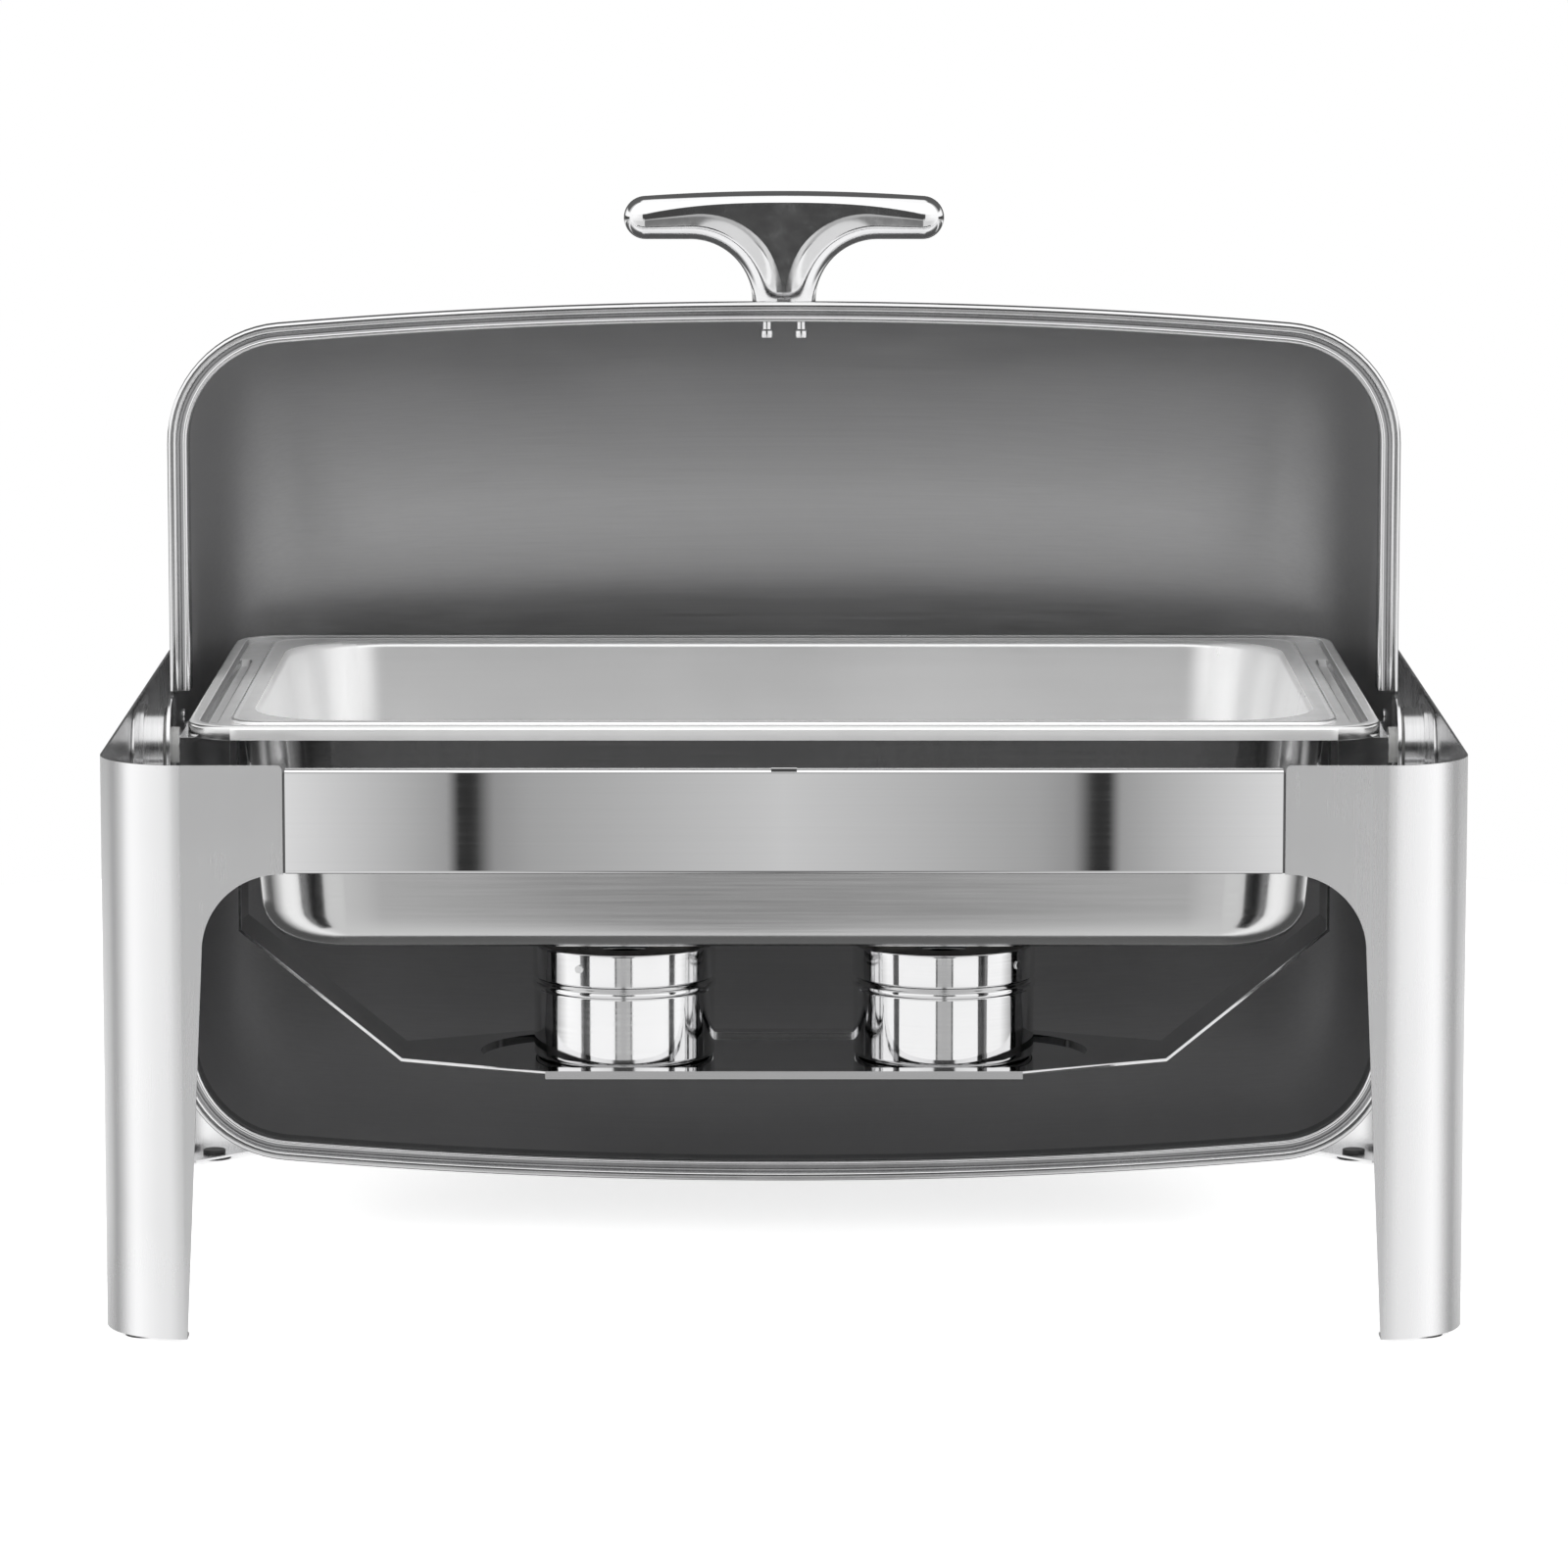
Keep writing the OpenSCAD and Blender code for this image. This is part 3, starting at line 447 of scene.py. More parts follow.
def mouth(inset, start, bow_steps=26, corner_steps=16, side_steps=6):
    """Upper half of the lid's mouth, right side to left over the top, as (x, height over the pivot)."""
    right = [(LID_X - inset, start + (CORNER_Z - start) * i / side_steps) for i in range(side_steps)]
    right += arc(CORNER_X, CORNER_Z, LID_CORNER - inset, 0, 90 - BOW_ANGLE, corner_steps)
    right += arc(0, BOW_Z, BOW_R - inset, 90 - BOW_ANGLE, 90, bow_steps)[1:]
    return right + [(-x, z) for x, z in reversed(right[:-1])]


def lid_skin(inset, steps=90):
    """One skin of the lid, turned through the half circle behind the mouth."""
    line = mouth(inset, 9, side_steps=8)
    rows = []
    for i in range(steps + 1):
        a = math.pi * i / steps
        rows.append([(x, r * math.sin(a), PIVOT_Z + r * math.cos(a)) for x, r in line])
    k = len(line)
    verts = [p for row in rows for p in row]
    faces = [(i * k + j, (i + 1) * k + j, (i + 1) * k + j + 1, i * k + j + 1)
             for i in range(steps) for j in range(k - 1)]
    return verts, faces, k, steps + 1


def lid_shell():
    """Outer and inner skins joined along their edges."""
    outer, faces, k, rows = lid_skin(1.5)
    inner, _, _, _ = lid_skin(2.5)
    n = len(outer)
    edge = [i * k for i in range(rows)] + [(rows - 1) * k + j for j in range(1, k)]
    edge += [i * k + k - 1 for i in range(rows - 2, -1, -1)] + list(range(k - 2, 0, -1))
    border = [(edge[i], edge[(i + 1) % len(edge)], edge[(i + 1) % len(edge)] + n, edge[i] + n)
              for i in range(len(edge))]
    return outer + inner, faces + [tuple(reversed([v + n for v in f])) for f in faces] + border


shell = piece("lid_dome", lid_shell(), lid_outside, "lid", ["lid_shell"], sharp=50)
# Faces turned toward the pivot take the inside material, whose darker colour is painted shade
shell.data.materials.append(lid_inside_painted_shade)
for face in shell.data.polygons:
    x, y, z = (c / MM for c in face.center)
    inward = face.normal.x * x + face.normal.y * y + face.normal.z * (z - PIVOT_Z) < 0
    face.material_index = 1 if inward else 0

# Section of the rim as (distance in from the lid's edge, y): rolled bead, pressed groove, inner lip
RIM_PROFILE = (
    [(0.15, 4.9), (0, 4.6), (0, -1.3)]
    + [(1.6 - 1.6 * math.cos(math.radians(a)), -1.4 - 1.6 * math.sin(math.radians(a)))
       for a in (15, 35, 55, 75, 90)]
    + [(3.1 + 1.4 * math.sin(math.radians(a)), -1.6 - 1.4 * math.cos(math.radians(a)))
       for a in (0, 25, 50, 75)]
    + [(4.7, -0.9), (5.2, -0.55), (6.3, -0.45), (7.2, -0.6), (7.7, -1.0), (8.3, -1.2), (9.0, -1.05),
       (9.6, -0.5), (9.95, 0.4), (10, 1.4), (10, 14.6), (9.6, 15), (9.1, 14.7), (9.05, 2), (8.6, 0.6),
       (7.6, 0.2), (1.8, 0.2), (1.2, 0.6), (1.1, 4.7), (0.8, 4.95)]
)


def rim_band(s):
    """Pressed band round one half of the mouth, from one side notch to the other."""
    lines = {u: mouth(u, NOTCH + 0.3, side_steps=10) for u in sorted({u for u, _ in RIM_PROFILE})}
    count = len(next(iter(lines.values())))
    return loft([[(lines[u][i][0], y, PIVOT_Z + s * lines[u][i][1]) for u, y in RIM_PROFILE]
                 for i in range(count)])


rim = piece("lid_rim_band", joined(rim_band(1), rim_band(-1)), rim_steel, "lid", ["lid_rim"],
            sharp=50)
# The groove's front faces take the dark copy: painted shade
rim.data.materials.append(groove_painted_shade)
for face in rim.data.polygons:
    if face.normal.y < -0.75 and face.center.y > -0.85 * MM:
        face.material_index = 1


# ---------- Handle ----------

GRIP_Z = PIVOT_Z + 260.5
GRIP_R = 10.8
STEM_W, STEM_FOOT = 31.6, HANDLE_LOW[2]
FLARE_R = 31
GRIP_DEPTH = 9.6
CROWN_R, CROWN_RISE = 1000, 13.2
HANDLE_Y = (HANDLE_LOW[1] + HANDLE_HIGH[1]) / 2


def handle_outline():
    """Right half of the front outline, from the middle of the crown to the stem: (x, z, shoulder width)."""
    end_x = HANDLE_HIGH[0] - GRIP_R
    under = GRIP_Z - GRIP_R
    crown_z = GRIP_Z + CROWN_RISE - CROWN_R
    tilt = math.degrees(math.asin(end_x / CROWN_R))
    corner_z = crown_z + math.sqrt((CROWN_R - GRIP_R) ** 2 - end_x ** 2)
    crown = arc(0, crown_z, CROWN_R, 90, 90 - tilt, 16)
    pts = [(x, z, 5.6 + 4.8 * (i / 16) ** 3) for i, (x, z) in enumerate(crown)]
    pts += [(x, z, 10.4) for x, z in arc(end_x, corner_z, GRIP_R, 88 - tilt, 0, 9)]
    pts += [(x, z, 10.4) for x, z in arc(end_x, GRIP_Z, GRIP_R, 0, -90, 11)[1:]]
    flare_x = STEM_W / 2 + FLARE_R
    pts += [(end_x + (flare_x - end_x) * i / 8, under, 10.4 + 2.4 * i / 8) for i in range(1, 8)]
    for i, (x, z) in enumerate(arc(flare_x, under - FLARE_R, FLARE_R, 90, 180, 20)):
        swell = 3.4 * math.sin(math.radians(90 * min(i / 12, 1))) - 1.2 * max(i - 12, 0) / 8
        pts.append((x, z, 12.8 + swell))
    foot = under - FLARE_R
    return pts + [(STEM_W / 2, foot + (STEM_FOOT - foot) * i / 3, 15.0 - 0.1 * i) for i in range(1, 4)]


def handle():
    """T shaped casting: broad rounded shoulders fall away from a flat middle, front and back alike."""
    half = handle_outline()
    full = [(-x, z, w) for x, z, w in reversed(half)] + half[1:]
    normals = []
    for i in range(len(full)):
        (x0, z0, _), (x1, z1, _) = full[max(i - 1, 0)], full[min(i + 1, len(full) - 1)]
        length = math.hypot(x1 - x0, z1 - z0)
        normals.append(((z1 - z0) / length, -(x1 - x0) / length))
    normals[0], normals[-1] = (1, 0), (-1, 0)

    steps, verts, faces = 12, [], []
    for facing in (-1, 1):
        rows = []
        for k in range(steps + 1):
            a = math.radians(90 * k / steps)
            row = []
            for (x, z, w), (nx, nz) in zip(full, normals):
                row.append(len(verts))
                inset = w * (1 - math.cos(a))
                inner_z = max(z + nz * inset, STEM_FOOT)
                verts.append((x + nx * inset, HANDLE_Y + facing * GRIP_DEPTH * math.sin(a), inner_z))
            rows.append(row)
        for a, b in zip(rows, rows[1:]):
            faces += [(a[j], b[j], b[j + 1], a[j + 1]) for j in range(len(full) - 1)]
        faces.append(tuple(rows[-1]))
    return verts, faces


piece("lid_handle_casting", handle(), cast_steel, "lid", ["lid_handle"], sharp=60, flat=True)


# ---------- Pans ----------

def ring(hx, hy, r, z, corner=10, along_x=24, along_y=56):
    """Rounded rectangle with its straight sides divided; z may be a number or a function of x and y."""
    pts = []
    for q, (sx, sy) in enumerate(((1, 1), (-1, 1), (-1, -1), (1, -1))):
        cx, cy = sx * (hx - r), sy * (hy - r)
        pts += arc(cx, cy, r, 90 * q, 90 * q + 90, corner)
        nx, ny = ((-1, 1), (-1, -1), (1, -1), (1, 1))[q]
        ex, ey = nx * (hx - r), ny * (hy - r)
        ax, ay = pts[-1]
        steps = along_x if q % 2 == 0 else along_y
        bx, by = (ex, ay) if q % 2 == 0 else (ax, ey)
        pts += [(ax + (bx - ax) * i / steps, ay + (by - ay) * i / steps) for i in range(1, steps)]
    height = z if callable(z) else (lambda x, y: z)
    return [(x, y, height(x, y)) for x, y in pts]


def skin(rings):
    """Skin over the rings, closed over the floor at both ends."""
    verts, faces = loft([ring(*q) for q in rings], caps=False)
    k = len(ring(*rings[0]))
    base = (len(rings) - 1) * k
    for start, q, flip in ((0, rings[0], False), (base, rings[-1], True)):
        centre = len(verts)
        verts.append((0, 0, q[3]))
        for j in range(k):
            pair = (start + j, start + (j + 1) % k)
            faces.append((centre,) + (pair if flip else pair[::-1]))
    return verts, faces


def wall(low, top, r_low, r_top, z0, z1, fillet, steps=8, rows=4):
    """Rings of a drawn wall from the flat floor up."""
    out = []
    for i in range(steps + 1):
        a = math.radians(90 * i / steps)
        inset = fillet * (1 - math.sin(a))
        out.append((low[0] - inset, low[1] - inset, max(r_low - inset, 8), z0 + fillet * (1 - math.cos(a))))
    z_low = z0 + fillet
    for i in range(1, rows + 1):
        t = i / rows
        out.append((low[0] + (top[0] - low[0]) * t, low[1] + (top[1] - low[1]) * t,
                    r_low + (r_top - r_low) * t, z_low + (z1 - z_low) * t))
    return out


def rounded(hx, hy, r, points):
    """Rings given as (distance in from the outer edge, height)."""
    return [(hx - d, hy - d, max(r - d, 2), z) for d, z in points]


CHANNEL_X, CHANNEL_HALF, CHANNEL_DEPTH = 274.6, 3.1, 2.3
CHANNEL_Y = (-150, 84)


def channel(x, y):
    """Depth of the long channel pressed into each end of the water pan's shelf."""
    cy = min(max(y, CHANNEL_Y[0] + CHANNEL_HALF), CHANNEL_Y[1] - CHANNEL_HALF)
    d = math.hypot(abs(x) - CHANNEL_X, y - cy)
    t = min(max((CHANNEL_HALF + 0.5 - d) / 1.6, 0), 1)
    return CHANNEL_DEPTH * t * t * (3 - 2 * t)


def water_pan():
    """Drawn pan whose flange steps down to a shelf with a channel at each end, then up to a turned edge."""
    hx, hy, top_z = WATER_HIGH
    floor, lip = WATER_LOW[2], corners("cradle_right")[1][2]
    t, shelf = 0.9, top_z - 1.8
    top, low = (261.5, 158.5), (254, 151)
    rings = wall(low, top, 44, 46, floor, top_z - 6, 22)
    rings += [(top[0] + 0.6, top[1] + 0.6, 46.5, shelf - t - 2.2),
              (top[0] + 2.2, top[1] + 2.2, 47, shelf - t - 0.4),
              (top[0] + 4, top[1] + 4, 47, shelf - t)]

    def under(x, y):
        return shelf - t - channel(x, y)

    def over(x, y):
        return shelf - channel(x, y)

    shelf_in = [(hx - d, hy - d, max(26 - d, 12)) for d in
                (17.4, 15.4, 14.2, 13.4, 12.6, 11.4, 10.4, 9.4, 8.6, 7.8, 7.0)]
    rings += [(*q, under) for q in shelf_in]
    rings += rounded(hx, hy, 26, [
        (6.2, shelf - t + 0.5), (5.6, top_z - t - 0.3), (5.0, top_z - t), (2.6, top_z - t),
        (1.6, top_z - t - 0.5), (t, top_z - 2.4), (t, lip + 0.3), (t * 0.6, lip), (0.2, lip + 0.1),
        (0, lip + 0.5), (0, top_z - 2.0), (0.2, top_z - 1.1), (0.7, top_z - 0.4), (1.5, top_z - 0.03),
        (2.4, top_z), (5.2, top_z), (5.8, top_z - 0.15), (6.3, top_z - 0.8), (6.8, shelf + 0.35),
        (7.4, shelf)])
    rings += [(*q, over) for q in reversed(shelf_in)]
    rings += [(top[0] + 3.4, top[1] + 3.4, 47, shelf), (top[0] + 1.6, top[1] + 1.6, 46.6, shelf - 0.5),
              (top[0] + 0.2, top[1] + 0.2, 46, shelf - 1.8)]
    rings += list(reversed(wall((low[0] - t, low[1] - t), (top[0] - t, top[1] - t), 43, 45,
                                floor + t, top_z - 6, 21)))
    return skin(rings)


def food_pan():
    """Drawn insert pan with a narrow flange that hooks over the water pan's shelf."""
    hx, hy, rim = FOOD_HIGH
    floor, lip = FOOD_LOW[2], WATER_HIGH[2] - 1.8
    t = 0.8
    top = (hx - 10.5, hy - 10.5)
    low = (top[0] - 6, top[1] - 6)
    rings = wall(low, top, 44, 48, floor, rim - 4.5, 18)
    rings += [(top[0] + 0.4, top[1] + 0.4, 48, rim - 2.8), (top[0] + 1.2, top[1] + 1.2, 47.6, rim - 1.6),
              (top[0] + 2.6, top[1] + 2.6, 47, rim - t - 0.2)]
    rings += rounded(hx, hy, 20, [
        (5.6, rim - t - 0.25), (3.0, rim - t - 0.2), (1.5, rim - t - 0.1), (t, rim - 1.5), (t, lip + 0.1),
        (t * 0.5, lip), (0.1, lip + 0.1), (0, lip + 0.5), (0, rim - 1.0), (0.3, rim - 0.35), (1.0, rim),
        (1.9, rim), (2.6, rim - 0.25), (3.4, rim - 0.3), (6.4, rim - 0.3)])
    rings += [(top[0] + 2.5 - d, top[1] + 2.5 - d, 47, rim - 0.3 - z) for d, z in
              ((0.2, 0.01), (1.0, 0.2), (1.8, 0.65), (2.5, 1.35), (3.0, 2.3), (3.25, 3.3))]
    rings += list(reversed(wall((low[0] - t, low[1] - t), (top[0] - t, top[1] - t), 43, 47,
                                floor + t, rim - 5, 17)))
    return skin(rings)


def satin_rim_painted_light(obj, level, high):
    """Satin roughness and painted light on the flat of the flange above the given height and on its turned
    down edge: a whiter, partly matt copy of the steel.
    """
    obj.data.materials.append(pan_rim_painted_light)
    for face in obj.data.polygons:
        edge = max(abs(face.center.x) - high[0] * MM, abs(face.center.y) - high[1] * MM) > -0.3 * MM
        if edge or face.center.z > level * MM and face.normal.z > 0.9:
            face.material_index = 1


def satin_ends_painted_light(obj):
    """Painted light on the end walls and corners of the pan's inside: a whiter, partly matt copy of the
    steel with satin roughness.
    """
    obj.data.materials.append(pan_end_painted_light)
    for face in obj.data.polygons:
        if face.material_index == 0 and face.normal.x * face.center.x < 0 and abs(face.normal.x) > 0.25:
            face.material_index = 2


# The water pan's body takes the darker steel, whose low colour is painted shade
water = piece("water_pan_drawn", water_pan(), pan_outside_painted_shade, "water_pan_body", ["water_pan"],
              sharp=50, flat=True)
satin_rim_painted_light(water, WATER_HIGH[2] - 5, WATER_HIGH)
food = piece("food_pan_drawn", food_pan(), pan_inside, "food_pan_body", ["food_pan"],
             sharp=50, flat=True)
satin_rim_painted_light(food, FOOD_HIGH[2] - 0.6, FOOD_HIGH)
satin_ends_painted_light(food)


# ---------- Fuel holders ----------

HOLDER_X = (COLLAR_HIGH[0] + COLLAR_LOW[0]) / 2
COLLAR_R = COLLAR_HIGH[0] - HOLDER_X
CUP_R = COLLAR_R - 0.6


def fuel_cup(s):
    """Open drawn cup with a rolled bead under the collar and a necked-in mouth."""
    base, joint = CUP_LOW[2], COLLAR_LOW[2]
    neck = COLLAR_R - 1.5
    bead = joint - 4.2
    outline = [(0.01, base + 0.7), (CUP_R - 9, base + 0.7), (CUP_R - 7, base + 0.1), (CUP_R - 6, base)]
    outline += arc(CUP_R - 3, base + 3, 3, -90, 0, 7)
    outline += [(CUP_R, bead - 2.6), (CUP_R + 0.1, bead - 1.9)]
    outline += [(CUP_R + 0.8 * math.cos(math.radians(a)), bead + 1.7 * math.sin(math.radians(a)))
                for a in range(-75, 80, 15)]
    outline += [(CUP_R - 0.1, joint - 2.2), (CUP_R - 0.4, joint - 1.2), (CUP_R - 1.1, joint - 0.6),
                (neck, joint - 0.3), (neck, CUP_HIGH[2] - 0.3), (neck - 0.3, CUP_HIGH[2]),
                (neck - 0.8, CUP_HIGH[2]),
                (neck - 0.85, base + 4), (neck - 3, base + 1.8), (neck - 6, base + 1.4), (0.01, base + 1.4)]
    return lathe(outline, (s * HOLDER_X, 0), 128)


def fuel_collar(s):
    """Polished ring that slips over the cup's neck."""
    low, high = COLLAR_LOW[2], COLLAR_HIGH[2]
    r = COLLAR_R
    outline = [(r - 1.15, low + 0.3), (r - 0.9, low), (r - 0.3, low), (r, low + 0.35), (r, high - 1.3)]
    outline += arc(r - 1.0, high - 1.0, 1.0, 10, 270, 14)
    outline += [(r - 1.1, high - 2.2), (r - 1.2, high - 3)]
    return lathe(outline, (s * HOLDER_X, 0), 128)


for side, s in SIDES:
    piece("fuel_cup_" + side + "_drawn", fuel_cup(s), holder_steel, "holder_" + side,
          ["fuel_cup_" + side], sharp=40, flat=True)
    piece("fuel_collar_" + side + "_drawn", fuel_collar(s), holder_steel, "cap_" + side,
          ["fuel_collar_" + side], sharp=45, flat=True)


# ---------- Brackets, tray and small hardware ----------

CARRIED = {
    "foot_glides": (black_plastic, "stand", "glide_plastic", 0.4),
    "hub_screws": (bright_steel, "stand", "hardware_steel", 0.3),
    "thrust_washers": (nylon, "stand", "bearing_nylon", 0.1),
    "lid_stop_pins": (bright_steel, "stand", "hardware_steel", 0.25),
    "cradle_bolts": (bright_steel, "stand", "hardware_steel", 0.4),
    "cradle_washers": (bright_steel, "stand", "hardware_steel", 0.15),
    "fuel_tray": (tray_steel, "stand", "tray_steel", 0.55),
    "tray_rivets": (bright_steel, "stand", "hardware_steel", 0.4),
    "hinge_rivets": (bright_steel, "lid", "hardware_steel", 0.3),
    "handle_screws": (bright_steel, "lid", "hardware_steel", 0.8),
    "handle_sleeves": (bright_steel, "lid", "hardware_steel", 0.15),
}
for side, _ in SIDES:
    CARRIED.update({
        "pivot_plate_" + side: (bracket_steel, "stand", "bracket_steel", 0.4),
        "pivot_hub_" + side: (hub_steel, "stand", "hub_steel", 0.5),
        "cradle_" + side: (bracket_steel, "stand", "bracket_steel", 0.9),
        "hinge_plate_" + side: (bracket_steel, "lid", "bracket_steel", 0.35),
        "pivot_bush_" + side: (nylon, "lid", "bearing_nylon", 0.15),
        "flame_deck_" + side: (deck_steel, "cap_" + side, "deck_steel", 0.25),
        "collar_rivets_" + side: (bright_steel, "cap_" + side, "hardware_steel", 0.2),
        "damper_rivet_" + side: (bright_steel, "cap_" + side, "hardware_steel", 0.25),
        "damper_" + side: (deck_steel, "snuffer_" + side, "deck_steel", 0.2),
    })
for node, (material, body, slot, bevel) in CARRIED.items():
    refined(node, material, body, bevel)


# ---------- Camera, floor and light ----------

scene = bpy.context.scene
scene.view_settings.view_transform = "Standard"

camera_data = bpy.data.cameras.new("camera")
camera = bpy.data.objects.new("camera", camera_data)
scene.collection.objects.link(camera)
CAMERA_Y, CAMERA_Z, CAMERA_DIP = -3.6106, 0.7562, 8.2485
camera.location = (0, CAMERA_Y, CAMERA_Z)
camera.rotation_euler = (math.radians(90 - CAMERA_DIP), 0, 0)
camera_data.lens = 167.64
camera_data.sensor_width = 36
scene.camera = camera


# Floor: pale and matt. The camera sees it lifted to white. Polished parts reflect the world in its place
FLOOR_R, FLOOR_STEPS = 1.25, 96
floor_material = bpy.data.materials.new("floor")
floor_material.use_nodes = True
floor_tree = floor_material.node_tree
floor_shader = floor_tree.nodes["Principled BSDF"]
floor_shader.inputs["Base Color"].default_value = (0.80, 0.80, 0.80, 1)
floor_shader.inputs["Roughness"].default_value = 0.9
floor_shader.inputs["Specular IOR Level"].default_value = 0.1
floor_shader.inputs["Emission Color"].default_value = (1, 1, 1, 1)
floor_seen = floor_tree.nodes.new("ShaderNodeLightPath")
floor_lift = floor_tree.nodes.new("ShaderNodeMath")
floor_lift.operation = "MULTIPLY"
floor_lift.inputs[1].default_value = 0.64
floor_tree.links.new(floor_seen.outputs["Is Camera Ray"], floor_lift.inputs[0])
floor_tree.links.new(floor_lift.outputs["Value"], floor_shader.inputs["Emission Strength"])
floor_mesh = bpy.data.meshes.new("floor")
floor_edge = [(x, y, 0) for x, y in arc(0, 0, FLOOR_R, 0, 360, FLOOR_STEPS)[:-1]]
floor_mesh.from_pydata(floor_edge, [], [tuple(range(FLOOR_STEPS))])
floor = bpy.data.objects.new("floor", floor_mesh)
floor_mesh.materials.append(floor_material)
floor.visible_glossy = False
scene.collection.objects.link(floor)

# Studio surroundings by direction: the set that the polished steel reflects. Its brightness stops are set so
# that the front view shows the light and dark bands of such a set
world = bpy.data.worlds.new("studio")
scene.world = world
world.use_nodes = True
tree = world.node_tree
nodes, links = tree.nodes, tree.links
background = nodes["Background"]
place = nodes.new("ShaderNodeTexCoord")
axes = nodes.new("ShaderNodeSeparateXYZ")
links.new(place.outputs["Generated"], axes.inputs["Vector"])


def math_node(operation, first, second=None):
    node = nodes.new("ShaderNodeMath")
    node.operation = operation
    for socket, value in zip(node.inputs, (first, second)):
        if value is None:
            continue
        if isinstance(value, (int, float)):
            socket.default_value = value
        else:
            links.new(value, socket)
    return node.outputs["Value"]


azimuth = math_node("ABSOLUTE", math_node("ARCTAN2", axes.outputs["X"],
                                          math_node("MULTIPLY", axes.outputs["Y"], -1)))


def ramp_node(driver, stops, reach):
    """Brightness by angle, from (degrees, value) stops over the given reach."""
    node = nodes.new("ShaderNodeValToRGB")
    elements = node.color_ramp.elements
    elements.remove(elements[-1])
    for i, (degrees, value) in enumerate(stops):
        stop = elements[0] if i == 0 else elements.new(degrees / reach)
        stop.position = degrees / reach
        stop.color = (value, value, value, 1)
    links.new(driver, node.inputs["Fac"])
    return node.outputs["Color"]


def band(low, high, driver):
    """0 below the low value and 1 above the high one, with a smooth step between."""
    node = nodes.new("ShaderNodeMapRange")
    node.interpolation_type = "SMOOTHSTEP"
    node.inputs["From Min"].default_value = low
    node.inputs["From Max"].default_value = high
    links.new(driver, node.inputs["Value"])
    return node.outputs["Result"]


def blend(factor, first, second, mode="MIX"):
    node = nodes.new("ShaderNodeMix")
    node.data_type = "RGBA"
    node.blend_type = mode
    if isinstance(factor, (int, float)):
        node.inputs["Factor"].default_value = factor
    else:
        links.new(factor, node.inputs["Factor"])
    for socket, value in ((node.inputs["A"], first), (node.inputs["B"], second)):
        if isinstance(value, (int, float)):
            socket.default_value = (value, value, value, 1)
        else:
            links.new(value, socket)
    return node.outputs["Result"]


turn = math_node("DIVIDE", azimuth, math.pi)
NEAR_REACH = 12
near_front = math_node("MULTIPLY", turn, 180 / NEAR_REACH)
rise = axes.outputs["Z"]
# Brightness by degrees from straight behind the camera, the same to the left and to the right.
# Level with the object: dark room behind the camera, soft boxes to the sides, then a dark rear
LEVEL = [(0, 0.07), (12, 0.07), (15, 1.0), (60, 1.15), (84, 1.15), (90, 0.06), (125, 0.06), (130, 0.12),
         (180, 0.08)]
# Below the horizon: the light table
TABLE = [(0, 0.8), (38, 0.8), (60, 0.95), (76, 1.2), (92, 1.15), (110, 0.5), (150, 0.5), (180, 0.8)]
# The strip of table seen low down by upright polished parts: a grey board with dark edges, then plain light
STRIP = [(0, 0.5), (8.5, 0.5), (9, 0.12), (10.5, 0.12), (11, 1.1), (76, 1.1), (97, 0.4), (116, 0.4),
         (126, 1.0), (180, 1.0)]
# Slim stands at the table's far edge, which only a flat polished face picks out
SLOTS = [(0, 0.8), (2, 0.5), (2.3, 0.4), (2.45, 0.04), (2.6, 0.04), (2.65, 0.45), (4, 1.0)]
# Shade on the near table in front of the camera
NEAR = [(0, 0.25), (1.5, 0.3), (4.5, 0.95), (8, 1.0)]
# The table behind the object, far below: dark
REAR = [(0, 1.0), (110, 1.0), (120, 0.2), (180, 0.2)]
# Just above level: only the room behind the camera is dark
RAISED = [(0, 0.07), (12, 0.07), (15, 1.0), (45, 1.2), (126, 1.2), (145, 0.1), (180, 0.1)]
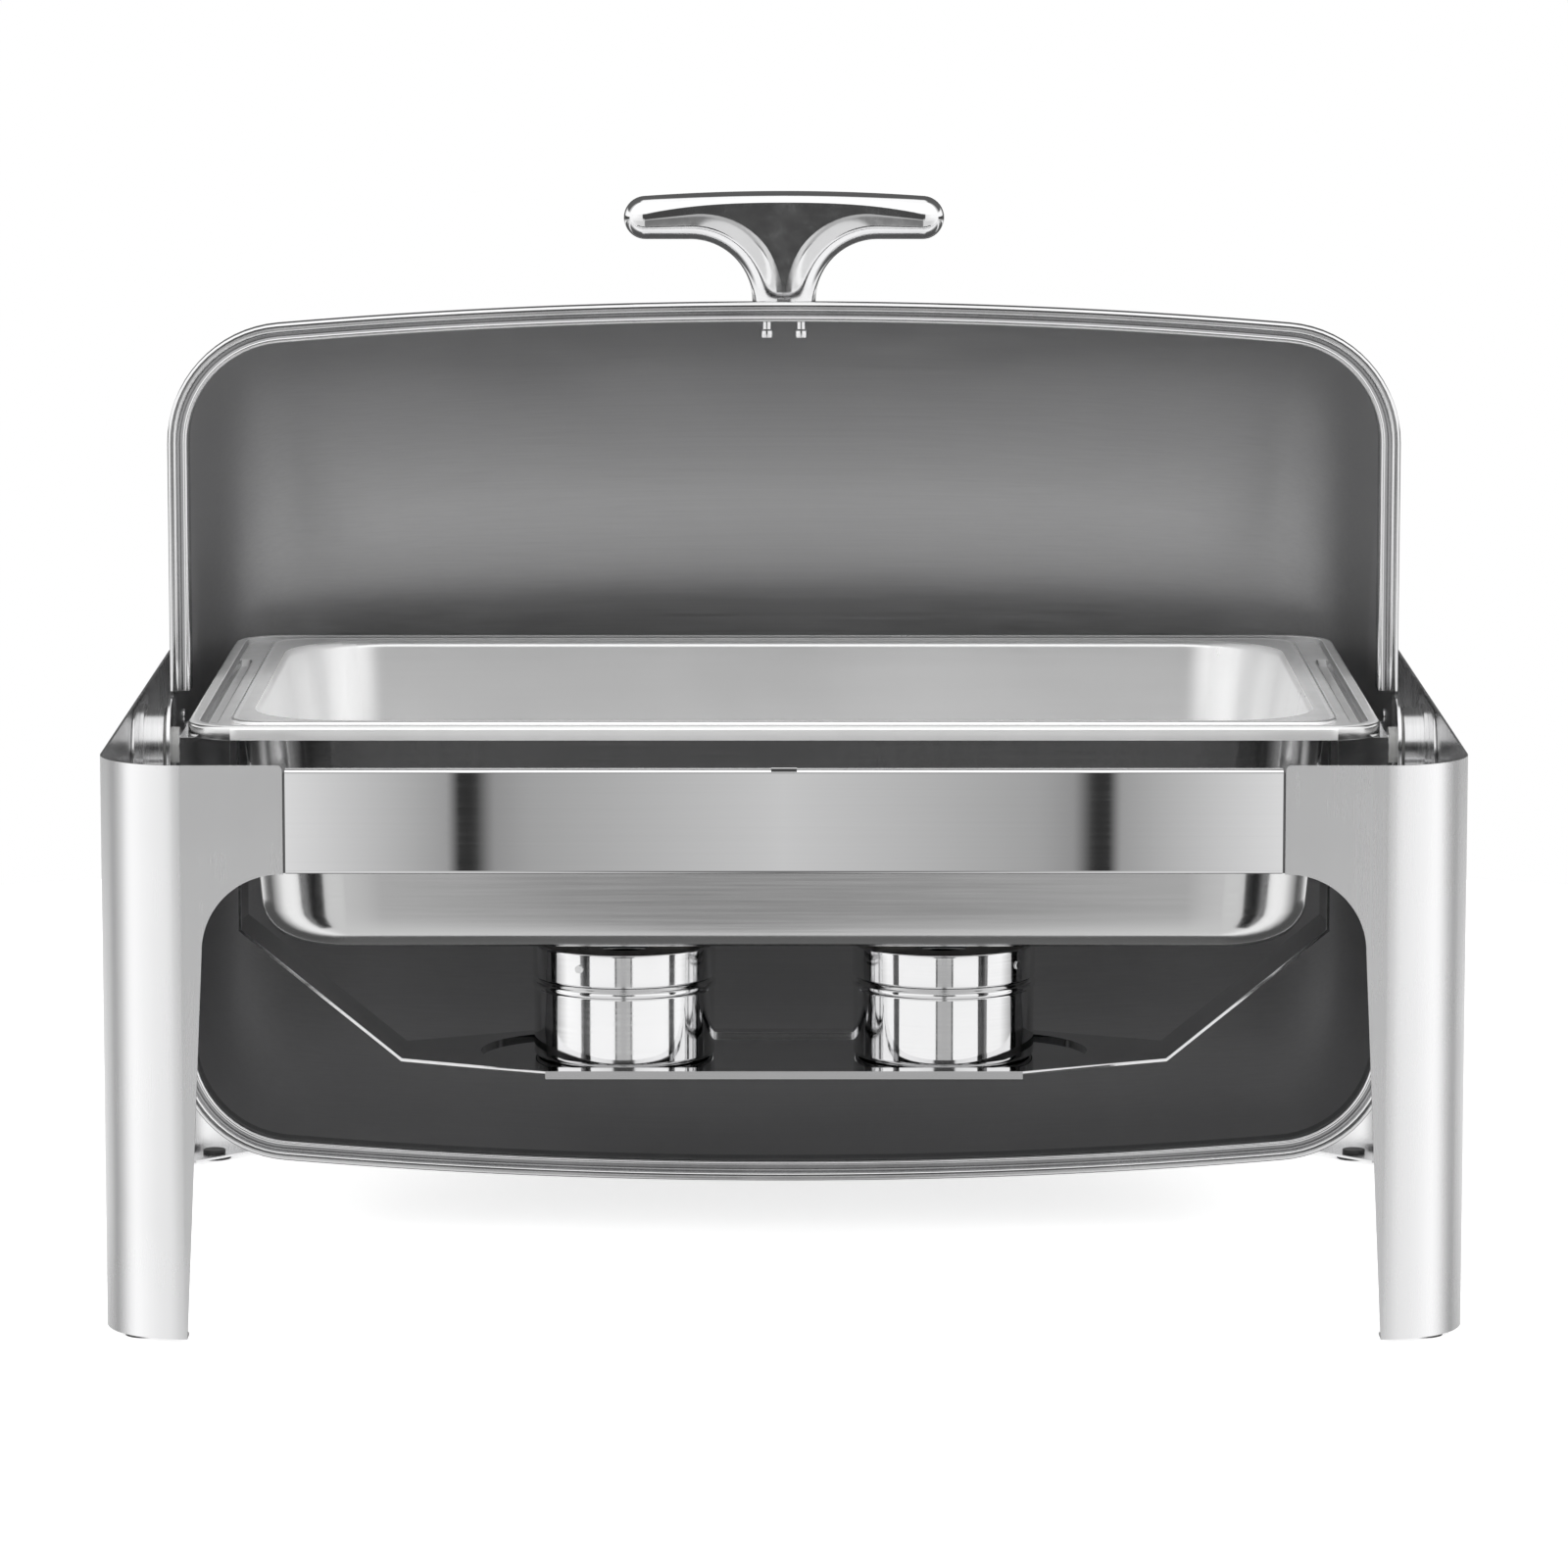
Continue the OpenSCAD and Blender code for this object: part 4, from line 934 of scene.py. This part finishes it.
# High up: a bright ceiling over the camera's side
OVERHEAD = [(0, 1.35), (80, 1.35), (105, 0.14), (180, 0.12)]
table = ramp_node(turn, TABLE, 180)
far_table = blend(1, table, ramp_node(near_front, SLOTS, NEAR_REACH), "MULTIPLY")
near_table = blend(1, table, ramp_node(near_front, NEAR, NEAR_REACH), "MULTIPLY")
near_table = blend(1, near_table, ramp_node(turn, REAR, 180), "MULTIPLY")
low = blend(band(-0.24, -0.20, rise), near_table, ramp_node(turn, STRIP, 180))
below = blend(band(-0.1625, -0.1595, rise), low, far_table)
level = blend(band(-0.118, -0.100, rise), below, ramp_node(turn, LEVEL, 180))
raised = blend(band(0.02, 0.05, rise), level, ramp_node(turn, RAISED, 180))
upper = blend(band(0.24, 0.36, rise), raised, ramp_node(turn, OVERHEAD, 180))
studio = blend(band(0.93, 0.98, rise), upper, 1.2)
# The camera itself sees plain white
seen = nodes.new("ShaderNodeLightPath")
final = nodes.new("ShaderNodeMix")
final.data_type = "RGBA"
links.new(seen.outputs["Is Camera Ray"], final.inputs["Factor"])
links.new(studio, final.inputs["A"])
final.inputs["B"].default_value = (1, 1, 1, 1)
links.new(final.outputs["Result"], background.inputs["Color"])
background.inputs["Strength"].default_value = 1.0

# One broad soft light overhead
key_data = bpy.data.lights.new("key", "AREA")
key_data.shape = "RECTANGLE"
key_data.size, key_data.size_y = 3.0, 2.0
key_data.energy = 20
key = bpy.data.objects.new("key", key_data)
key.location = (0, -0.6, 2.8)
key.visible_camera = False
key.visible_glossy = False
scene.collection.objects.link(key)

# Two low soft lights that reach in under the open lid from either side of the camera
FILL_X, FILL_Y = 1.7, -1.0
for s in (-1, 1):
    fill_data = bpy.data.lights.new("fill", "AREA")
    fill_data.size = 1.0
    fill_data.energy = 12
    fill = bpy.data.objects.new("fill", fill_data)
    fill.location = (s * FILL_X, FILL_Y, 0.95)
    fill.rotation_euler = (math.radians(65), 0, math.atan2(s * FILL_X, -FILL_Y))
    fill.visible_camera = False
    fill.visible_glossy = False
    scene.collection.objects.link(fill)
